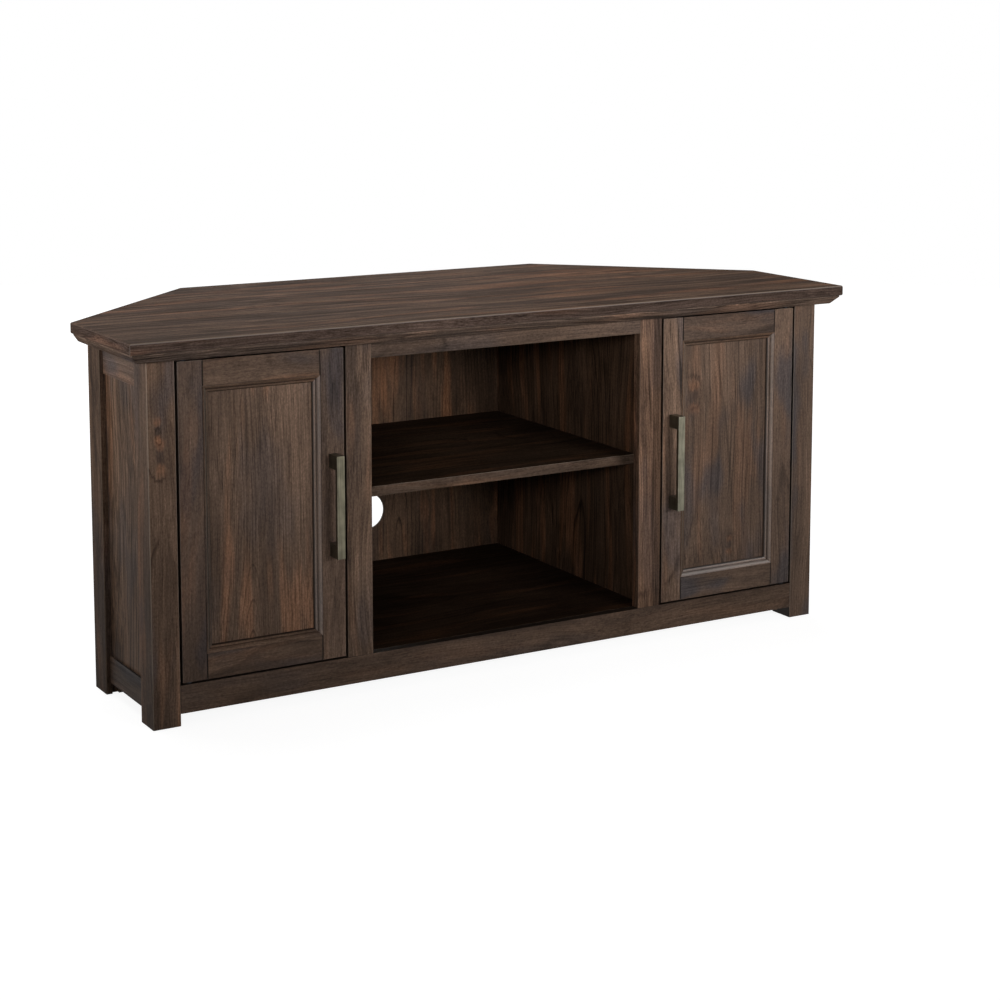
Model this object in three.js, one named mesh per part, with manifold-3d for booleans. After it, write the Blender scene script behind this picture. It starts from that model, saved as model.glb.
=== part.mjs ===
// Corner television cabinet of stained wood: a six-sided top over a face frame with an open
// bay between two framed doors.
// Millimetres, +Z up, doors facing -Y. The origin is on the floor, under the middle of the
// top board's outline. Side -1 is the left end and side 1 the right end, as seen from the front.

import * as THREE from "three";
import { mergeVertices } from "three/addons/utils/BufferGeometryUtils.js";
import Module from "manifold-3d";

const wasm = await Module();
wasm.setup();

// Overall size
const overallWidth = 1200;
const overallDepth = 510;
const overallHeight = 542;

// Clearances
const seatGap = 0.3; // between pieces that are glued, housed or stand on each other
const doorSideGap = 3.5;
const doorFootGap = 3; // over the bottom rail
const doorHeadGap = 4.5; // under the moulding
const pivotPlay = 0.1; // radial, between a hinge pin and its bush
const cutOverrun = 5; // how far a cutter runs past the face that it leaves by

// Top board and the moulding under its rim
const topThickness = 16;
const topArris = 1.5;
const mouldingHeight = 13.5;
const mouldingLip = 3.5; // from the top board's edge back to the moulding
const mouldingUpright = 2; // plain edge above the slope
const mouldingRun = 10.5; // how far the slope runs in under the top

// Legs, posts and end frames
const frontOverhang = 29; // from the top board's front edge back to the legs and doors
const endOverhang = 32.5;
const backOverhang = 9;
const legWidth = 41;
const legDepth = 45.5;
const legArris = 1;
const legCornerMargin = 9; // the rear legs' outer corner to the cut corner, along the end
const postFace = 30; // width of a corner post against each back board
const postReach = 30; // how far a corner post reaches into the cabinet
const railClearance = 17.5; // floor to the bottom rails
const bottomRailHeight = 40;
const sideRailTopHeight = 43.5;
const sideRailRecess = 6; // from the legs' outer face
const sidePanelRecess = 3.5; // from the rails' outer face
const sidePanelThickness = 9;
const sideRailLip = 3.5; // rail behind the panel
const sideGrooveDepth = 6;

// Face frame and the open bay
const frameThickness = 16;
const bayOpening = 460; // between the centre stiles
const stileReturn = 21; // how far a centre stile stands in front of the open bay
const stileLap = 4; // how far it stands in front of the side bay
const frontRailTopHeight = 23.5;

// Boards
const dividerThickness = 15;
const sideBayBack = 58; // straight back of a side bay, before the corner is cut off at 45 degrees
const bottomThickness = 16;
const shelfThickness = 15;
const shelfTop = 291.5;
const shelfSetback = 46; // from the face frame's front
const shelfHousing = 3; // depth of the grooves that carry the shelves
const backThickness = 4;
const cableHoleDiameter = 60;
const cableHoleHeight = 143.5;

// Doors
const doorMember = 36; // face width of stiles and rails
const doorPanelRecess = 9;
const doorPanelThickness = 6;
const doorBackLip = 3; // stile and rail behind the panel
const doorGrooveDepth = 6;
const beadWidth = 10.4;

// Handles
const handleSpacing = 128; // between the two screws
const postHeight = 20;
const handleWidth = 12;
const handleProjection = 25.5;
const barThickness = 5.5;
const screwRadius = 2;
const screwHeadRadius = 4;
const screwHeadHeight = 2.5;
const screwGrip = 14; // length of screw inside the handle
const slotWidth = 1.2;
const slotDepth = 1;
const slotLength = 5;

// Pivot hinges
const pivotInset = 11; // from the door's hinge edge
const pivotDepth = 7; // from the door's front face
const pinRadius = 2.5;
const pinSeat = 10; // length of pin in the cabinet
const pinShort = 2; // how far a pin stops short of its bush's end
const collarRadius = 4.5;
const bushRadius = 4;
const bushLength = 12;

// Magnetic catches
const catchMargin = 2.5; // how far a catch reaches past its plate
const catchDepth = 14;
const catchHeight = 16;
const catchBevel = 3;
const catchDrop = 45; // from the door's top edge down to the catch's middle
const catchAir = 0.5; // between the catch and its plate
const catchPlateWidth = 12;
const catchPlateHeight = 30;
const catchPlateThickness = 1;
const catchPlateInset = 4; // from the door's lock edge

const roundSides = 24;
const holeSides = 48;
const diagonal = Math.SQRT2;

// Levels and lines that several pieces share
const halfWidth = overallWidth / 2;
const frontEdge = -overallDepth / 2;
const backEdge = overallDepth / 2;
const topUnderside = overallHeight - topThickness;
const mouldingUnderside = topUnderside - mouldingHeight;
const face = frontEdge + frontOverhang; // front of legs, face frame and doors
const frameBack = face + frameThickness;
const mouldingHeel = frontOverhang + frameThickness; // from the top's edge in to the strip's back
const stileInner = bayOpening / 2;
const dividerInner = stileInner + stileReturn;
const dividerOuter = dividerInner + dividerThickness;
const cornerStart = backEdge + dividerOuter + sideBayBack - halfWidth; // where an end's straight run stops
const legOuter = halfWidth - endOverhang;
const legInner = legOuter - legWidth;
const frontLegBack = face + legDepth;
const rearLegBack = cornerStart + endOverhang - legCornerMargin;
const rearLegFront = rearLegBack - legDepth;
const bottomRailTop = railClearance + bottomRailHeight;
const bottomUnderside = bottomRailTop - bottomThickness;
const railOuter = legOuter - sideRailRecess;
const panelOuter = railOuter - sidePanelRecess;
const panelInner = panelOuter - sidePanelThickness;
const railInner = panelInner - sideRailLip;
const sideRailTopUnderside = mouldingUnderside - sideRailTopHeight;
const stileOuter = dividerOuter + stileLap;
const shelfUnderside = shelfTop - shelfThickness;
const shelfFront = face + shelfSetback;
const backOuter = backEdge - backOverhang;
const backInner = backOuter - backThickness;

// A line at 45 degrees across a rear corner is held as the sum of its x and y.
const cornerSum = halfWidth + cornerStart;
const backOuterSum = cornerSum - backOverhang * diagonal;
const backInnerSum = backOuterSum - backThickness * diagonal;
const boardSum = backInnerSum - seatGap * diagonal;

// Door sizes, and the hinge axis
const doorThickness = doorPanelRecess + doorPanelThickness + doorBackLip;
const doorWidth = legInner - stileOuter - 2 * doorSideGap;
const doorBottom = bottomRailTop + doorFootGap;
const doorHeight = mouldingUnderside - doorHeadGap - doorBottom;
const pivotX = legInner - doorSideGap - pivotInset;
const pivotY = face + pivotDepth;
const doorBack = face + doorThickness;
const pinReach = bushLength - pinShort;

function finish(color, roughness, metalness) {
  return new THREE.MeshStandardMaterial({ color, roughness, metalness });
}

const finishes = {
  top: () => finish(0x4a382f, 0.5, 0),
  frame: () => finish(0x46372f, 0.55, 0),
  panel: () => finish(0x553f33, 0.55, 0),
  inside: () => finish(0x33261f, 0.6, 0),
  back: () => finish(0x3d2e25, 0.65, 0),
  brass: () => finish(0x7b7460, 0.42, 0.9),
  steel: () => finish(0x9a9a98, 0.35, 1),
  nylon: () => finish(0x2a2724, 0.6, 0),
};

function outline(points) {
  return new THREE.Shape(points.map(([x, y]) => new THREE.Vector2(x, y)));
}

function extruded(points, length) {
  return new THREE.ExtrudeGeometry(outline(points), { depth: length, bevelEnabled: false });
}

// Plan outline of [x, y] points, raised from one level to another.
function upright(points, low, high) {
  return extruded(points, high - low).translate(0, 0, low);
}

// Section of [y, z] points, run along X.
function alongX(points, low, high) {
  const turn = new THREE.Matrix4().makeBasis(
    new THREE.Vector3(0, 1, 0),
    new THREE.Vector3(0, 0, 1),
    new THREE.Vector3(1, 0, 0),
  );
  return extruded(points, high - low).applyMatrix4(turn).translate(low, 0, 0);
}

// Section of [x, z] points, run along Y.
function alongY(points, low, high) {
  const turn = new THREE.Matrix4().makeBasis(
    new THREE.Vector3(1, 0, 0),
    new THREE.Vector3(0, 0, 1),
    new THREE.Vector3(0, -1, 0),
  );
  return extruded(points, high - low).applyMatrix4(turn).translate(0, high, 0);
}

// Box between two corners.
function block([x0, y0, z0], [x1, y1, z1]) {
  const box = new THREE.BoxGeometry(Math.abs(x1 - x0), Math.abs(y1 - y0), Math.abs(z1 - z0));
  return box.translate((x0 + x1) / 2, (y0 + y1) / 2, (z0 + z1) / 2);
}

// Round bar along Y or Z, between two places on that axis.
function roundY(radius, x, z, low, high, sides = roundSides) {
  const bar = new THREE.CylinderGeometry(radius, radius, high - low, sides);
  return bar.translate(x, (low + high) / 2, z);
}

function roundZ(radius, x, y, low, high) {
  const bar = new THREE.CylinderGeometry(radius, radius, high - low, roundSides);
  return bar.rotateX(Math.PI / 2).translate(x, y, (low + high) / 2);
}

function toSolid(geometry) {
  const bare = geometry.clone();
  bare.deleteAttribute("normal");
  bare.deleteAttribute("uv");
  const merged = mergeVertices(bare);
  const vertProperties = new Float32Array(merged.attributes.position.array);
  const triVerts = new Uint32Array(merged.index.array);
  return new wasm.Manifold(new wasm.Mesh({ numProp: 3, vertProperties, triVerts }));
}

function toGeometry(solid) {
  const mesh = solid.getMesh();
  const geometry = new THREE.BufferGeometry();
  geometry.setAttribute("position", new THREE.BufferAttribute(mesh.vertProperties, 3));
  geometry.setIndex(new THREE.BufferAttribute(mesh.triVerts, 1));
  geometry.computeVertexNormals();
  return geometry;
}

function cut(geometry, cutters) {
  let solid = toSolid(geometry);
  for (const cutter of cutters) {
    solid = solid.subtract(toSolid(cutter));
  }
  return toGeometry(solid);
}

function piece(name, geometry, material) {
  const mesh = new THREE.Mesh(geometry, material);
  mesh.name = name;
  return mesh;
}

function sideName(side) {
  return side < 0 ? "left" : "right";
}

// Mirrors a plan or section outline to the chosen end.
function mirrored(points, side) {
  return points.map(([x, y]) => [side * x, y]);
}

// Top board: the outline of the whole cabinet, with its arrises taken off.
function topBoard() {
  const corners = [
    [-halfWidth, frontEdge],
    [halfWidth, frontEdge],
    [halfWidth, cornerStart],
    [cornerSum - backEdge, backEdge],
    [backEdge - cornerSum, backEdge],
    [-halfWidth, cornerStart],
  ];
  const board = new THREE.ExtrudeGeometry(outline(corners), {
    depth: topThickness - 2 * topArris,
    bevelThickness: topArris,
    bevelSize: topArris,
    bevelOffset: -topArris,
    bevelSegments: 1,
  });
  return piece("top_board", board.translate(0, 0, topUnderside + topArris), finishes.top());
}

// Moulding section: how far in from the top board's edge, and the level.
function mouldingSection() {
  const crown = topUnderside - seatGap;
  const toe = mouldingUnderside;
  return [
    [mouldingLip, crown],
    [mouldingLip, crown - mouldingUpright],
    [mouldingLip + mouldingRun, toe],
    [mouldingHeel, toe],
    [mouldingHeel, crown],
  ];
}

// A strip of moulding whose two ends are each placed by a rule of the distance from the edge.
function mouldingStrip(startAt, endAt, acrossAxis, alongAxis) {
  const strip = extruded(mouldingSection(), 1);
  const spots = strip.attributes.position;
  for (let i = 0; i < spots.count; i += 1) {
    const inset = spots.getX(i);
    spots.setZ(i, spots.getZ(i) > 0 ? endAt(inset) : startAt(inset));
  }
  return strip.applyMatrix4(
    new THREE.Matrix4().makeBasis(acrossAxis, new THREE.Vector3(0, 0, 1), alongAxis),
  );
}

function frontMoulding() {
  const mitre = (inset) => halfWidth - inset - seatGap;
  const strip = mouldingStrip(
    (inset) => -mitre(inset),
    mitre,
    new THREE.Vector3(0, 1, 0),
    new THREE.Vector3(1, 0, 0),
  ).translate(0, frontEdge, 0);
  const bores = [-1, 1].map((side) => {
    const low = mouldingUnderside - cutOverrun;
    return roundZ(pinRadius + seatGap, side * pivotX, pivotY, low, mouldingUnderside + pinSeat + seatGap);
  });
  return piece("moulding_front", cut(strip, bores), finishes.frame());
}

function endMoulding(side) {
  const mitre = (inset) => frontEdge + inset + seatGap;
  const rearEnd = (inset) => cornerSum - mouldingLip * diagonal - halfWidth + inset;
  const strip = side > 0
    ? mouldingStrip(mitre, rearEnd, new THREE.Vector3(-1, 0, 0), new THREE.Vector3(0, 1, 0))
    : mouldingStrip(
      (inset) => -rearEnd(inset),
      (inset) => -mitre(inset),
      new THREE.Vector3(1, 0, 0),
      new THREE.Vector3(0, -1, 0),
    );
  return piece(`moulding_${sideName(side)}`, strip.translate(side * halfWidth, 0, 0), finishes.frame());
}

// Leg: a grooved post whose groove holds the end panel's edge.
function leg(position, side) {
  const front = position === "front";
  const low = front ? face : rearLegFront;
  const high = front ? frontLegBack : rearLegBack;
  const grooveLow = panelInner - seatGap;
  const grooveHigh = panelOuter + seatGap;
  const a = legArris;
  const groove = front
    ? [
      [grooveHigh, high],
      [grooveHigh, high - sideGrooveDepth],
      [grooveLow, high - sideGrooveDepth],
      [grooveLow, high],
    ]
    : [
      [grooveLow, low],
      [grooveLow, low + sideGrooveDepth],
      [grooveHigh, low + sideGrooveDepth],
      [grooveHigh, low],
    ];
  const near = [[legInner, low + a], [legInner + a, low]];
  const nearOuter = [[legOuter - a, low], [legOuter, low + a]];
  const far = [[legOuter, high - a], [legOuter - a, high]];
  const farInner = [[legInner + a, high], [legInner, high - a]];
  const plan = front
    ? [...near, ...nearOuter, ...far, ...groove, ...farInner]
    : [...near, ...groove, ...nearOuter, ...far, ...farInner];
  const shape = upright(mirrored(plan, side), 0, mouldingUnderside - seatGap);
  return piece(`leg_${position}_${sideName(side)}`, shape, finishes.frame());
}

// Plan of a rear corner post, grown all round by a clearance where it cuts a board.
function postPlan(grow) {
  const corner = boardSum - backInner + seatGap;
  const back = backInner - seatGap;
  const run = postFace / diagonal;
  const reach = postReach / diagonal;
  const centre = [corner, back - postReach / 2];
  const plan = [
    [corner - postFace, back],
    [corner, back],
    [corner + run, back - run],
    [corner + run - reach, back - run - reach],
    [corner - postFace, back - postReach],
  ];
  return plan.map(([x, y]) => [
    centre[0] + (x - centre[0]) * (1 + grow / (postReach / 2)),
    centre[1] + (y - centre[1]) * (1 + grow / (postReach / 2)),
  ]);
}

function cornerPost(side) {
  const shape = upright(mirrored(postPlan(0), side), 0, topUnderside - seatGap);
  return piece(`corner_post_${sideName(side)}`, shape, finishes.inside());
}

// End frame: rails grooved for the panel, between the two legs.
function sideRails(side) {
  const grooveLow = panelInner - seatGap;
  const grooveHigh = panelOuter + seatGap;
  const start = frontLegBack + seatGap;
  const stop = rearLegFront - seatGap;
  const under = sideRailTopUnderside;
  const upper = [
    [railInner, mouldingUnderside - seatGap],
    [railInner, under],
    [grooveLow, under],
    [grooveLow, under + sideGrooveDepth],
    [grooveHigh, under + sideGrooveDepth],
    [grooveHigh, under],
    [railOuter, under],
    [railOuter, mouldingUnderside - seatGap],
  ];
  const over = bottomRailTop;
  const lower = [
    [railInner, railClearance],
    [railOuter, railClearance],
    [railOuter, over],
    [grooveHigh, over],
    [grooveHigh, over - sideGrooveDepth],
    [grooveLow, over - sideGrooveDepth],
    [grooveLow, over],
    [railInner, over],
  ];
  const end = sideName(side);
  return [
    piece(`side_rail_top_${end}`, alongY(mirrored(upper, side), start, stop), finishes.frame()),
    piece(`side_rail_bottom_${end}`, alongY(mirrored(lower, side), start, stop), finishes.frame()),
  ];
}

function sidePanel(side) {
  const tongue = sideGrooveDepth - seatGap;
  const board = block(
    [side * panelInner, frontLegBack - tongue, bottomRailTop - tongue],
    [side * panelOuter, rearLegFront + tongue, sideRailTopUnderside + tongue],
  );
  const housing = block(
    [side * (panelInner - cutOverrun), frontLegBack - cutOverrun - tongue, shelfUnderside - seatGap],
    [side * (panelInner + shelfHousing), rearLegFront + cutOverrun + tongue, shelfTop + seatGap],
  );
  return piece(`side_panel_${sideName(side)}`, cut(board, [housing]), finishes.panel());
}

// Face frame: a long rail under everything, a short one over the open bay, two stiles.
function faceFrame() {
  const reach = legInner - seatGap;
  const bottomRail = block([-reach, face, railClearance], [reach, frameBack, bottomRailTop]);
  const bores = [-1, 1].map((side) => {
    const low = bottomRailTop - pinSeat - seatGap;
    return roundZ(pinRadius + seatGap, side * pivotX, pivotY, low, bottomRailTop + cutOverrun);
  });
  const railReach = stileInner - seatGap;
  const headLow = mouldingUnderside - frontRailTopHeight;
  const headHigh = mouldingUnderside - seatGap;
  const topRail = block([-railReach, face, headLow], [railReach, frameBack, headHigh]);
  const stiles = [-1, 1].map((side) => {
    const low = [side * stileInner, face, bottomRailTop + seatGap];
    const high = [side * stileOuter, frameBack, headHigh];
    return piece(`centre_stile_${sideName(side)}`, block(low, high), finishes.frame());
  });
  return [
    piece("front_rail_bottom", cut(bottomRail, bores), finishes.frame()),
    piece("front_rail_top", topRail, finishes.frame()),
    ...stiles,
  ];
}

// Divider: housed on both faces for the shelves.
function divider(side) {
  const low = [side * dividerInner, frameBack + seatGap, bottomRailTop + seatGap];
  const high = [side * dividerOuter, backInner - seatGap, topUnderside - seatGap];
  const housings = [
    [dividerInner - cutOverrun, dividerInner + shelfHousing],
    [dividerOuter - shelfHousing, dividerOuter + cutOverrun],
  ].map(([inner, outer]) => block(
    [side * inner, shelfFront - seatGap, shelfUnderside - seatGap],
    [side * outer, backInner + cutOverrun, shelfTop + seatGap],
  ));
  return piece(`divider_${sideName(side)}`, cut(block(low, high), housings), finishes.inside());
}

// What the bottom board and the shelves are notched round.
function notchCutters(side, low, high) {
  const inner = legInner - seatGap;
  const outer = legOuter + cutOverrun;
  const base = low - cutOverrun;
  const crown = high + cutOverrun;
  return [
    block([side * inner, face - cutOverrun, base], [side * outer, frontLegBack + seatGap, crown]),
    block([side * inner, rearLegFront - seatGap, base], [side * outer, rearLegBack + cutOverrun, crown]),
    upright(mirrored(postPlan(seatGap), side), base, crown),
  ];
}

function bottomBoard() {
  const reach = railInner - seatGap;
  const front = frameBack + seatGap;
  const back = backInner - seatGap;
  const plan = [
    [-reach, front],
    [reach, front],
    [reach, boardSum - reach],
    [boardSum - back, back],
    [back - boardSum, back],
    [-reach, boardSum - reach],
  ];
  const notches = [-1, 1].flatMap((side) => notchCutters(side, bottomUnderside, bottomRailTop));
  const board = cut(upright(plan, bottomUnderside, bottomRailTop), notches);
  return piece("bottom_board", board, finishes.inside());
}

function centreShelf() {
  const reach = dividerInner + shelfHousing - seatGap;
  const low = [-reach, shelfFront, shelfUnderside];
  const high = [reach, backInner - seatGap, shelfTop];
  return piece("centre_shelf", block(low, high), finishes.inside());
}

function sideShelf(side) {
  const inner = dividerOuter - shelfHousing + seatGap;
  const outer = panelInner + shelfHousing - seatGap;
  const back = backInner - seatGap;
  const plan = [
    [inner, shelfFront],
    [outer, shelfFront],
    [outer, boardSum - outer],
    [boardSum - back, back],
    [inner, back],
  ];
  const board = upright(mirrored(plan, side), shelfUnderside, shelfTop);
  const notches = notchCutters(side, shelfUnderside, shelfTop);
  return piece(`side_shelf_${sideName(side)}`, cut(board, notches), finishes.inside());
}

// The corner boards are notched at the top, where the end mouldings pass.
function mouldingNotch(side) {
  const inner = halfWidth - mouldingHeel - seatGap;
  return block(
    [side * inner, rearLegBack - cutOverrun, mouldingUnderside - seatGap],
    [side * halfWidth, backEdge, topUnderside + cutOverrun],
  );
}

// Back: a centre board with the cable hole, and a board across each rear corner.
function backPanels() {
  const low = bottomUnderside;
  const high = topUnderside - seatGap;
  const centrePlan = [
    [backInner - backOuterSum, backInner],
    [backOuterSum - backInner, backInner],
    [backOuterSum - backOuter, backOuter],
    [backOuter - backOuterSum, backOuter],
  ];
  const holeStart = backInner - cutOverrun;
  const holeStop = backOuter + cutOverrun;
  const hole = roundY(cableHoleDiameter / 2, 0, cableHoleHeight, holeStart, holeStop, holeSides);
  const centre = cut(upright(centrePlan, low, high), [hole]);
  const start = rearLegBack + seatGap;
  const stop = backInner - seatGap;
  const cornerPlan = [
    [backInnerSum - start, start],
    [backOuterSum - start, start],
    [backOuterSum - stop, stop],
    [backInnerSum - stop, stop],
  ];
  return [
    piece("back_panel_centre", centre, finishes.back()),
    ...[-1, 1].map((side) => {
      const board = cut(upright(mirrored(cornerPlan, side), low, high), [mouldingNotch(side)]);
      return piece(`back_panel_${sideName(side)}`, board, finishes.back());
    }),
  ];
}

// The doors' parts are placed from the hinge axis, at the level of the door's bottom edge.
// across is measured from the hinge edge, depth from the front face.
function doorX(side, across) {
  return -side * (across - pivotInset);
}

function doorY(depth) {
  return depth - pivotDepth;
}

function doorStile(name, side, outerEdge, inward, holes) {
  const inner = outerEdge + inward * doorMember;
  const grooveEnd = inner - inward * doorGrooveDepth;
  const grooveLow = doorPanelRecess - seatGap;
  const grooveHigh = doorPanelRecess + doorPanelThickness + seatGap;
  const plan = [
    [outerEdge, 0],
    [inner, 0],
    [inner, grooveLow],
    [grooveEnd, grooveLow],
    [grooveEnd, grooveHigh],
    [inner, grooveHigh],
    [inner, doorThickness],
    [outerEdge, doorThickness],
  ].map(([across, depth]) => [doorX(side, across), doorY(depth)]);
  return piece(name, cut(upright(plan, 0, doorHeight), holes), finishes.frame());
}

function doorRail(name, side, outerEdge, inward) {
  const inner = outerEdge + inward * doorMember;
  const grooveEnd = inner - inward * doorGrooveDepth;
  const grooveLow = doorPanelRecess - seatGap;
  const grooveHigh = doorPanelRecess + doorPanelThickness + seatGap;
  const section = [
    [doorY(0), outerEdge],
    [doorY(0), inner],
    [doorY(grooveLow), inner],
    [doorY(grooveLow), grooveEnd],
    [doorY(grooveHigh), grooveEnd],
    [doorY(grooveHigh), inner],
    [doorY(doorThickness), inner],
    [doorY(doorThickness), outerEdge],
  ];
  const ends = [
    doorX(side, doorMember + seatGap),
    doorX(side, doorWidth - doorMember - seatGap),
  ].sort((a, b) => a - b);
  return piece(name, alongX(section, ends[0], ends[1]), finishes.frame());
}

// Bead profile as shares of its width, inwards from the frame, and of its depth from the face.
const beadShares = [
  [0, 0],
  [0.1, 0],
  [0.3, 0.05],
  [0.46, 0.16],
  [0.53, 0.32],
  [0.58, 0.46],
  [0.72, 0.5],
  [0.86, 0.58],
  [0.95, 0.74],
  [1, 1],
  [0, 1],
];

// The bead runs round the panel as one mitred ring of the profile.
function beadRing() {
  const halfX = doorWidth / 2 - doorMember - seatGap;
  const halfZ = doorHeight / 2 - doorMember - seatGap;
  const depth = doorPanelRecess - seatGap;
  const corners = [[-1, -1], [1, -1], [1, 1], [-1, 1]];
  const spots = beadShares.flatMap(([inShare, depthShare]) => corners.flatMap(([signX, signZ]) => [
    signX * (halfX - inShare * beadWidth),
    depthShare * depth,
    signZ * (halfZ - inShare * beadWidth),
  ]));
  const triangles = [];
  const rows = beadShares.length;
  for (let row = 0; row < rows; row += 1) {
    const here = 4 * row;
    const next = 4 * ((row + 1) % rows);
    for (let k = 0; k < 4; k += 1) {
      const turn = (k + 1) % 4;
      triangles.push(here + k, here + turn, next + turn, here + k, next + turn, next + k);
    }
  }
  const ring = new THREE.BufferGeometry();
  ring.setAttribute("position", new THREE.Float32BufferAttribute(spots, 3));
  ring.setIndex(triangles);
  ring.computeVertexNormals();
  return ring;
}

function doorPanel(side) {
  const tongue = doorGrooveDepth - seatGap;
  const edge = doorMember - tongue;
  return block(
    [doorX(side, edge), doorY(doorPanelRecess), edge],
    [doorX(side, doorWidth - edge), doorY(doorPanelRecess + doorPanelThickness), doorHeight - edge],
  );
}

// Heights of the two handle screws above the door's bottom edge.
const screwHeights = {
  lower: (doorHeight - handleSpacing) / 2,
  upper: (doorHeight + handleSpacing) / 2,
};
const handleAcross = doorWidth - doorMember / 2;

// Handle: a flat bar on two square posts, bored from behind for its screws.
function handle(side) {
  const low = screwHeights.lower - postHeight / 2;
  const high = screwHeights.upper + postHeight / 2;
  const front = doorY(-handleProjection);
  const barBack = front + barThickness;
  const foot = doorY(-seatGap);
  const section = [
    [front, low],
    [foot, low],
    [foot, low + postHeight],
    [barBack, low + postHeight],
    [barBack, high - postHeight],
    [foot, high - postHeight],
    [foot, high],
    [front, high],
  ];
  const x = doorX(side, handleAcross);
  const bar = alongX(section, x - handleWidth / 2, x + handleWidth / 2);
  const bores = Object.values(screwHeights).map((z) => {
    const tip = doorY(-screwGrip - 2 * seatGap);
    return roundY(screwRadius + seatGap, x, z, tip, foot + cutOverrun);
  });
  return piece(`handle_${sideName(side)}`, cut(bar, bores), finishes.brass());
}

// Handle screw: cross-slotted head on the door's inner face, shank through the stile.
function handleScrew(side, level) {
  const x = doorX(side, handleAcross);
  const z = screwHeights[level];
  const seat = doorY(doorThickness) + seatGap;
  const tip = doorY(-screwGrip - seatGap);
  const crown = seat + screwHeadHeight;
  const profile = [
    [0, tip],
    [screwRadius, tip],
    [screwRadius, seat],
    [screwHeadRadius, seat],
    [screwHeadRadius, crown],
    [0, crown],
  ].map(([radius, y]) => new THREE.Vector2(radius, y));
  const body = new THREE.LatheGeometry(profile, roundSides).translate(x, 0, z);
  const floor = crown - slotDepth;
  const half = slotLength / 2;
  const thin = slotWidth / 2;
  const slots = [
    block([x - half, floor, z - thin], [x + half, crown + cutOverrun, z + thin]),
    block([x - thin, floor, z - half], [x + thin, crown + cutOverrun, z + half]),
  ];
  return piece(`handle_screw_${sideName(side)}_${level}`, cut(body, slots), finishes.steel());
}

// Hinge pin: pressed into the cabinet, with a collar that keeps the door off it.
// It is drawn for the lower hinge and turned over for the upper one.
function hingePin(side, level) {
  const gap = level === "lower" ? doorFootGap : doorHeadGap;
  const profile = [
    [0, -pinSeat],
    [pinRadius, -pinSeat],
    [pinRadius, seatGap],
    [collarRadius, seatGap],
    [collarRadius, gap - seatGap],
    [pinRadius, gap - seatGap],
    [pinRadius, gap + pinReach],
    [0, gap + pinReach],
  ].map(([radius, z]) => new THREE.Vector2(radius, z));
  const body = new THREE.LatheGeometry(profile, roundSides);
  const mesh = piece(`hinge_pin_${sideName(side)}_${level}`, body, finishes.steel());
  mesh.rotation.x = level === "lower" ? Math.PI / 2 : -Math.PI / 2;
  mesh.position.set(side * pivotX, pivotY, level === "lower" ? bottomRailTop : mouldingUnderside);
  return mesh;
}

// Hinge bush: a sleeve let into the end of the hinge stile.
function hingeBush(side, level) {
  const bore = pinRadius + pivotPlay;
  const profile = [
    [bore, 0],
    [bushRadius, 0],
    [bushRadius, bushLength],
    [bore, bushLength],
    [bore, 0],
  ].map(([radius, z]) => new THREE.Vector2(radius, z));
  const body = new THREE.LatheGeometry(profile, roundSides);
  const mesh = piece(`hinge_bush_${sideName(side)}_${level}`, body, finishes.nylon());
  mesh.rotation.x = level === "lower" ? Math.PI / 2 : -Math.PI / 2;
  mesh.position.z = level === "lower" ? 0 : doorHeight;
  return mesh;
}

function hingeStileBores() {
  const radius = bushRadius + seatGap;
  const depth = bushLength + seatGap;
  return [
    roundZ(radius, 0, 0, -cutOverrun, depth),
    roundZ(radius, 0, 0, doorHeight - depth, doorHeight + cutOverrun),
  ];
}

function lockStileBores(side) {
  const x = doorX(side, handleAcross);
  return Object.values(screwHeights).map((z) => {
    const start = doorY(0) - cutOverrun;
    return roundY(screwRadius + seatGap, x, z, start, doorY(doorThickness) + cutOverrun);
  });
}

// Catch: a magnet housing screwed to the divider, and a steel plate on the door.
function doorCatch(side) {
  const inner = dividerOuter + seatGap;
  const plateOuter = stileOuter + doorSideGap + catchPlateInset + catchPlateWidth;
  const outer = plateOuter + catchMargin;
  const near = doorBack + seatGap + catchPlateThickness + catchAir;
  const far = near + catchDepth;
  const middle = doorBottom + doorHeight - catchDrop;
  const plan = [
    [inner, near],
    [outer - catchBevel, near],
    [outer, near + catchBevel],
    [outer, far - catchBevel],
    [outer - catchBevel, far],
    [inner, far],
  ];
  const body = upright(mirrored(plan, side), middle - catchHeight / 2, middle + catchHeight / 2);
  return piece(`catch_${sideName(side)}`, body, finishes.nylon());
}

function catchPlate(side) {
  const lockEdge = doorWidth - catchPlateInset;
  const middle = doorHeight - catchDrop;
  const near = doorY(doorThickness) + seatGap;
  const body = block(
    [doorX(side, lockEdge - catchPlateWidth), near, middle - catchPlateHeight / 2],
    [doorX(side, lockEdge), near + catchPlateThickness, middle + catchPlateHeight / 2],
  );
  return piece(`catch_plate_${sideName(side)}`, body, finishes.steel());
}

// A door's group stands on its hinge axis, so turning the group swings the door.
function door(side) {
  const name = `door_${sideName(side)}`;
  const group = new THREE.Group();
  group.position.set(side * pivotX, pivotY, doorBottom);
  const bead = piece(`${name}_bead`, beadRing(), finishes.frame());
  bead.position.set(doorX(side, doorWidth / 2), doorY(0), doorHeight / 2);
  group.add(
    doorStile(`${name}_hinge_stile`, side, 0, 1, hingeStileBores()),
    doorStile(`${name}_lock_stile`, side, doorWidth, -1, lockStileBores(side)),
    doorRail(`${name}_bottom_rail`, side, 0, 1),
    doorRail(`${name}_top_rail`, side, doorHeight, -1),
    piece(`${name}_panel`, doorPanel(side), finishes.panel()),
    bead,
    handle(side),
    catchPlate(side),
  );
  for (const level of ["lower", "upper"]) {
    group.add(handleScrew(side, level), hingeBush(side, level));
  }
  return group;
}

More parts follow.
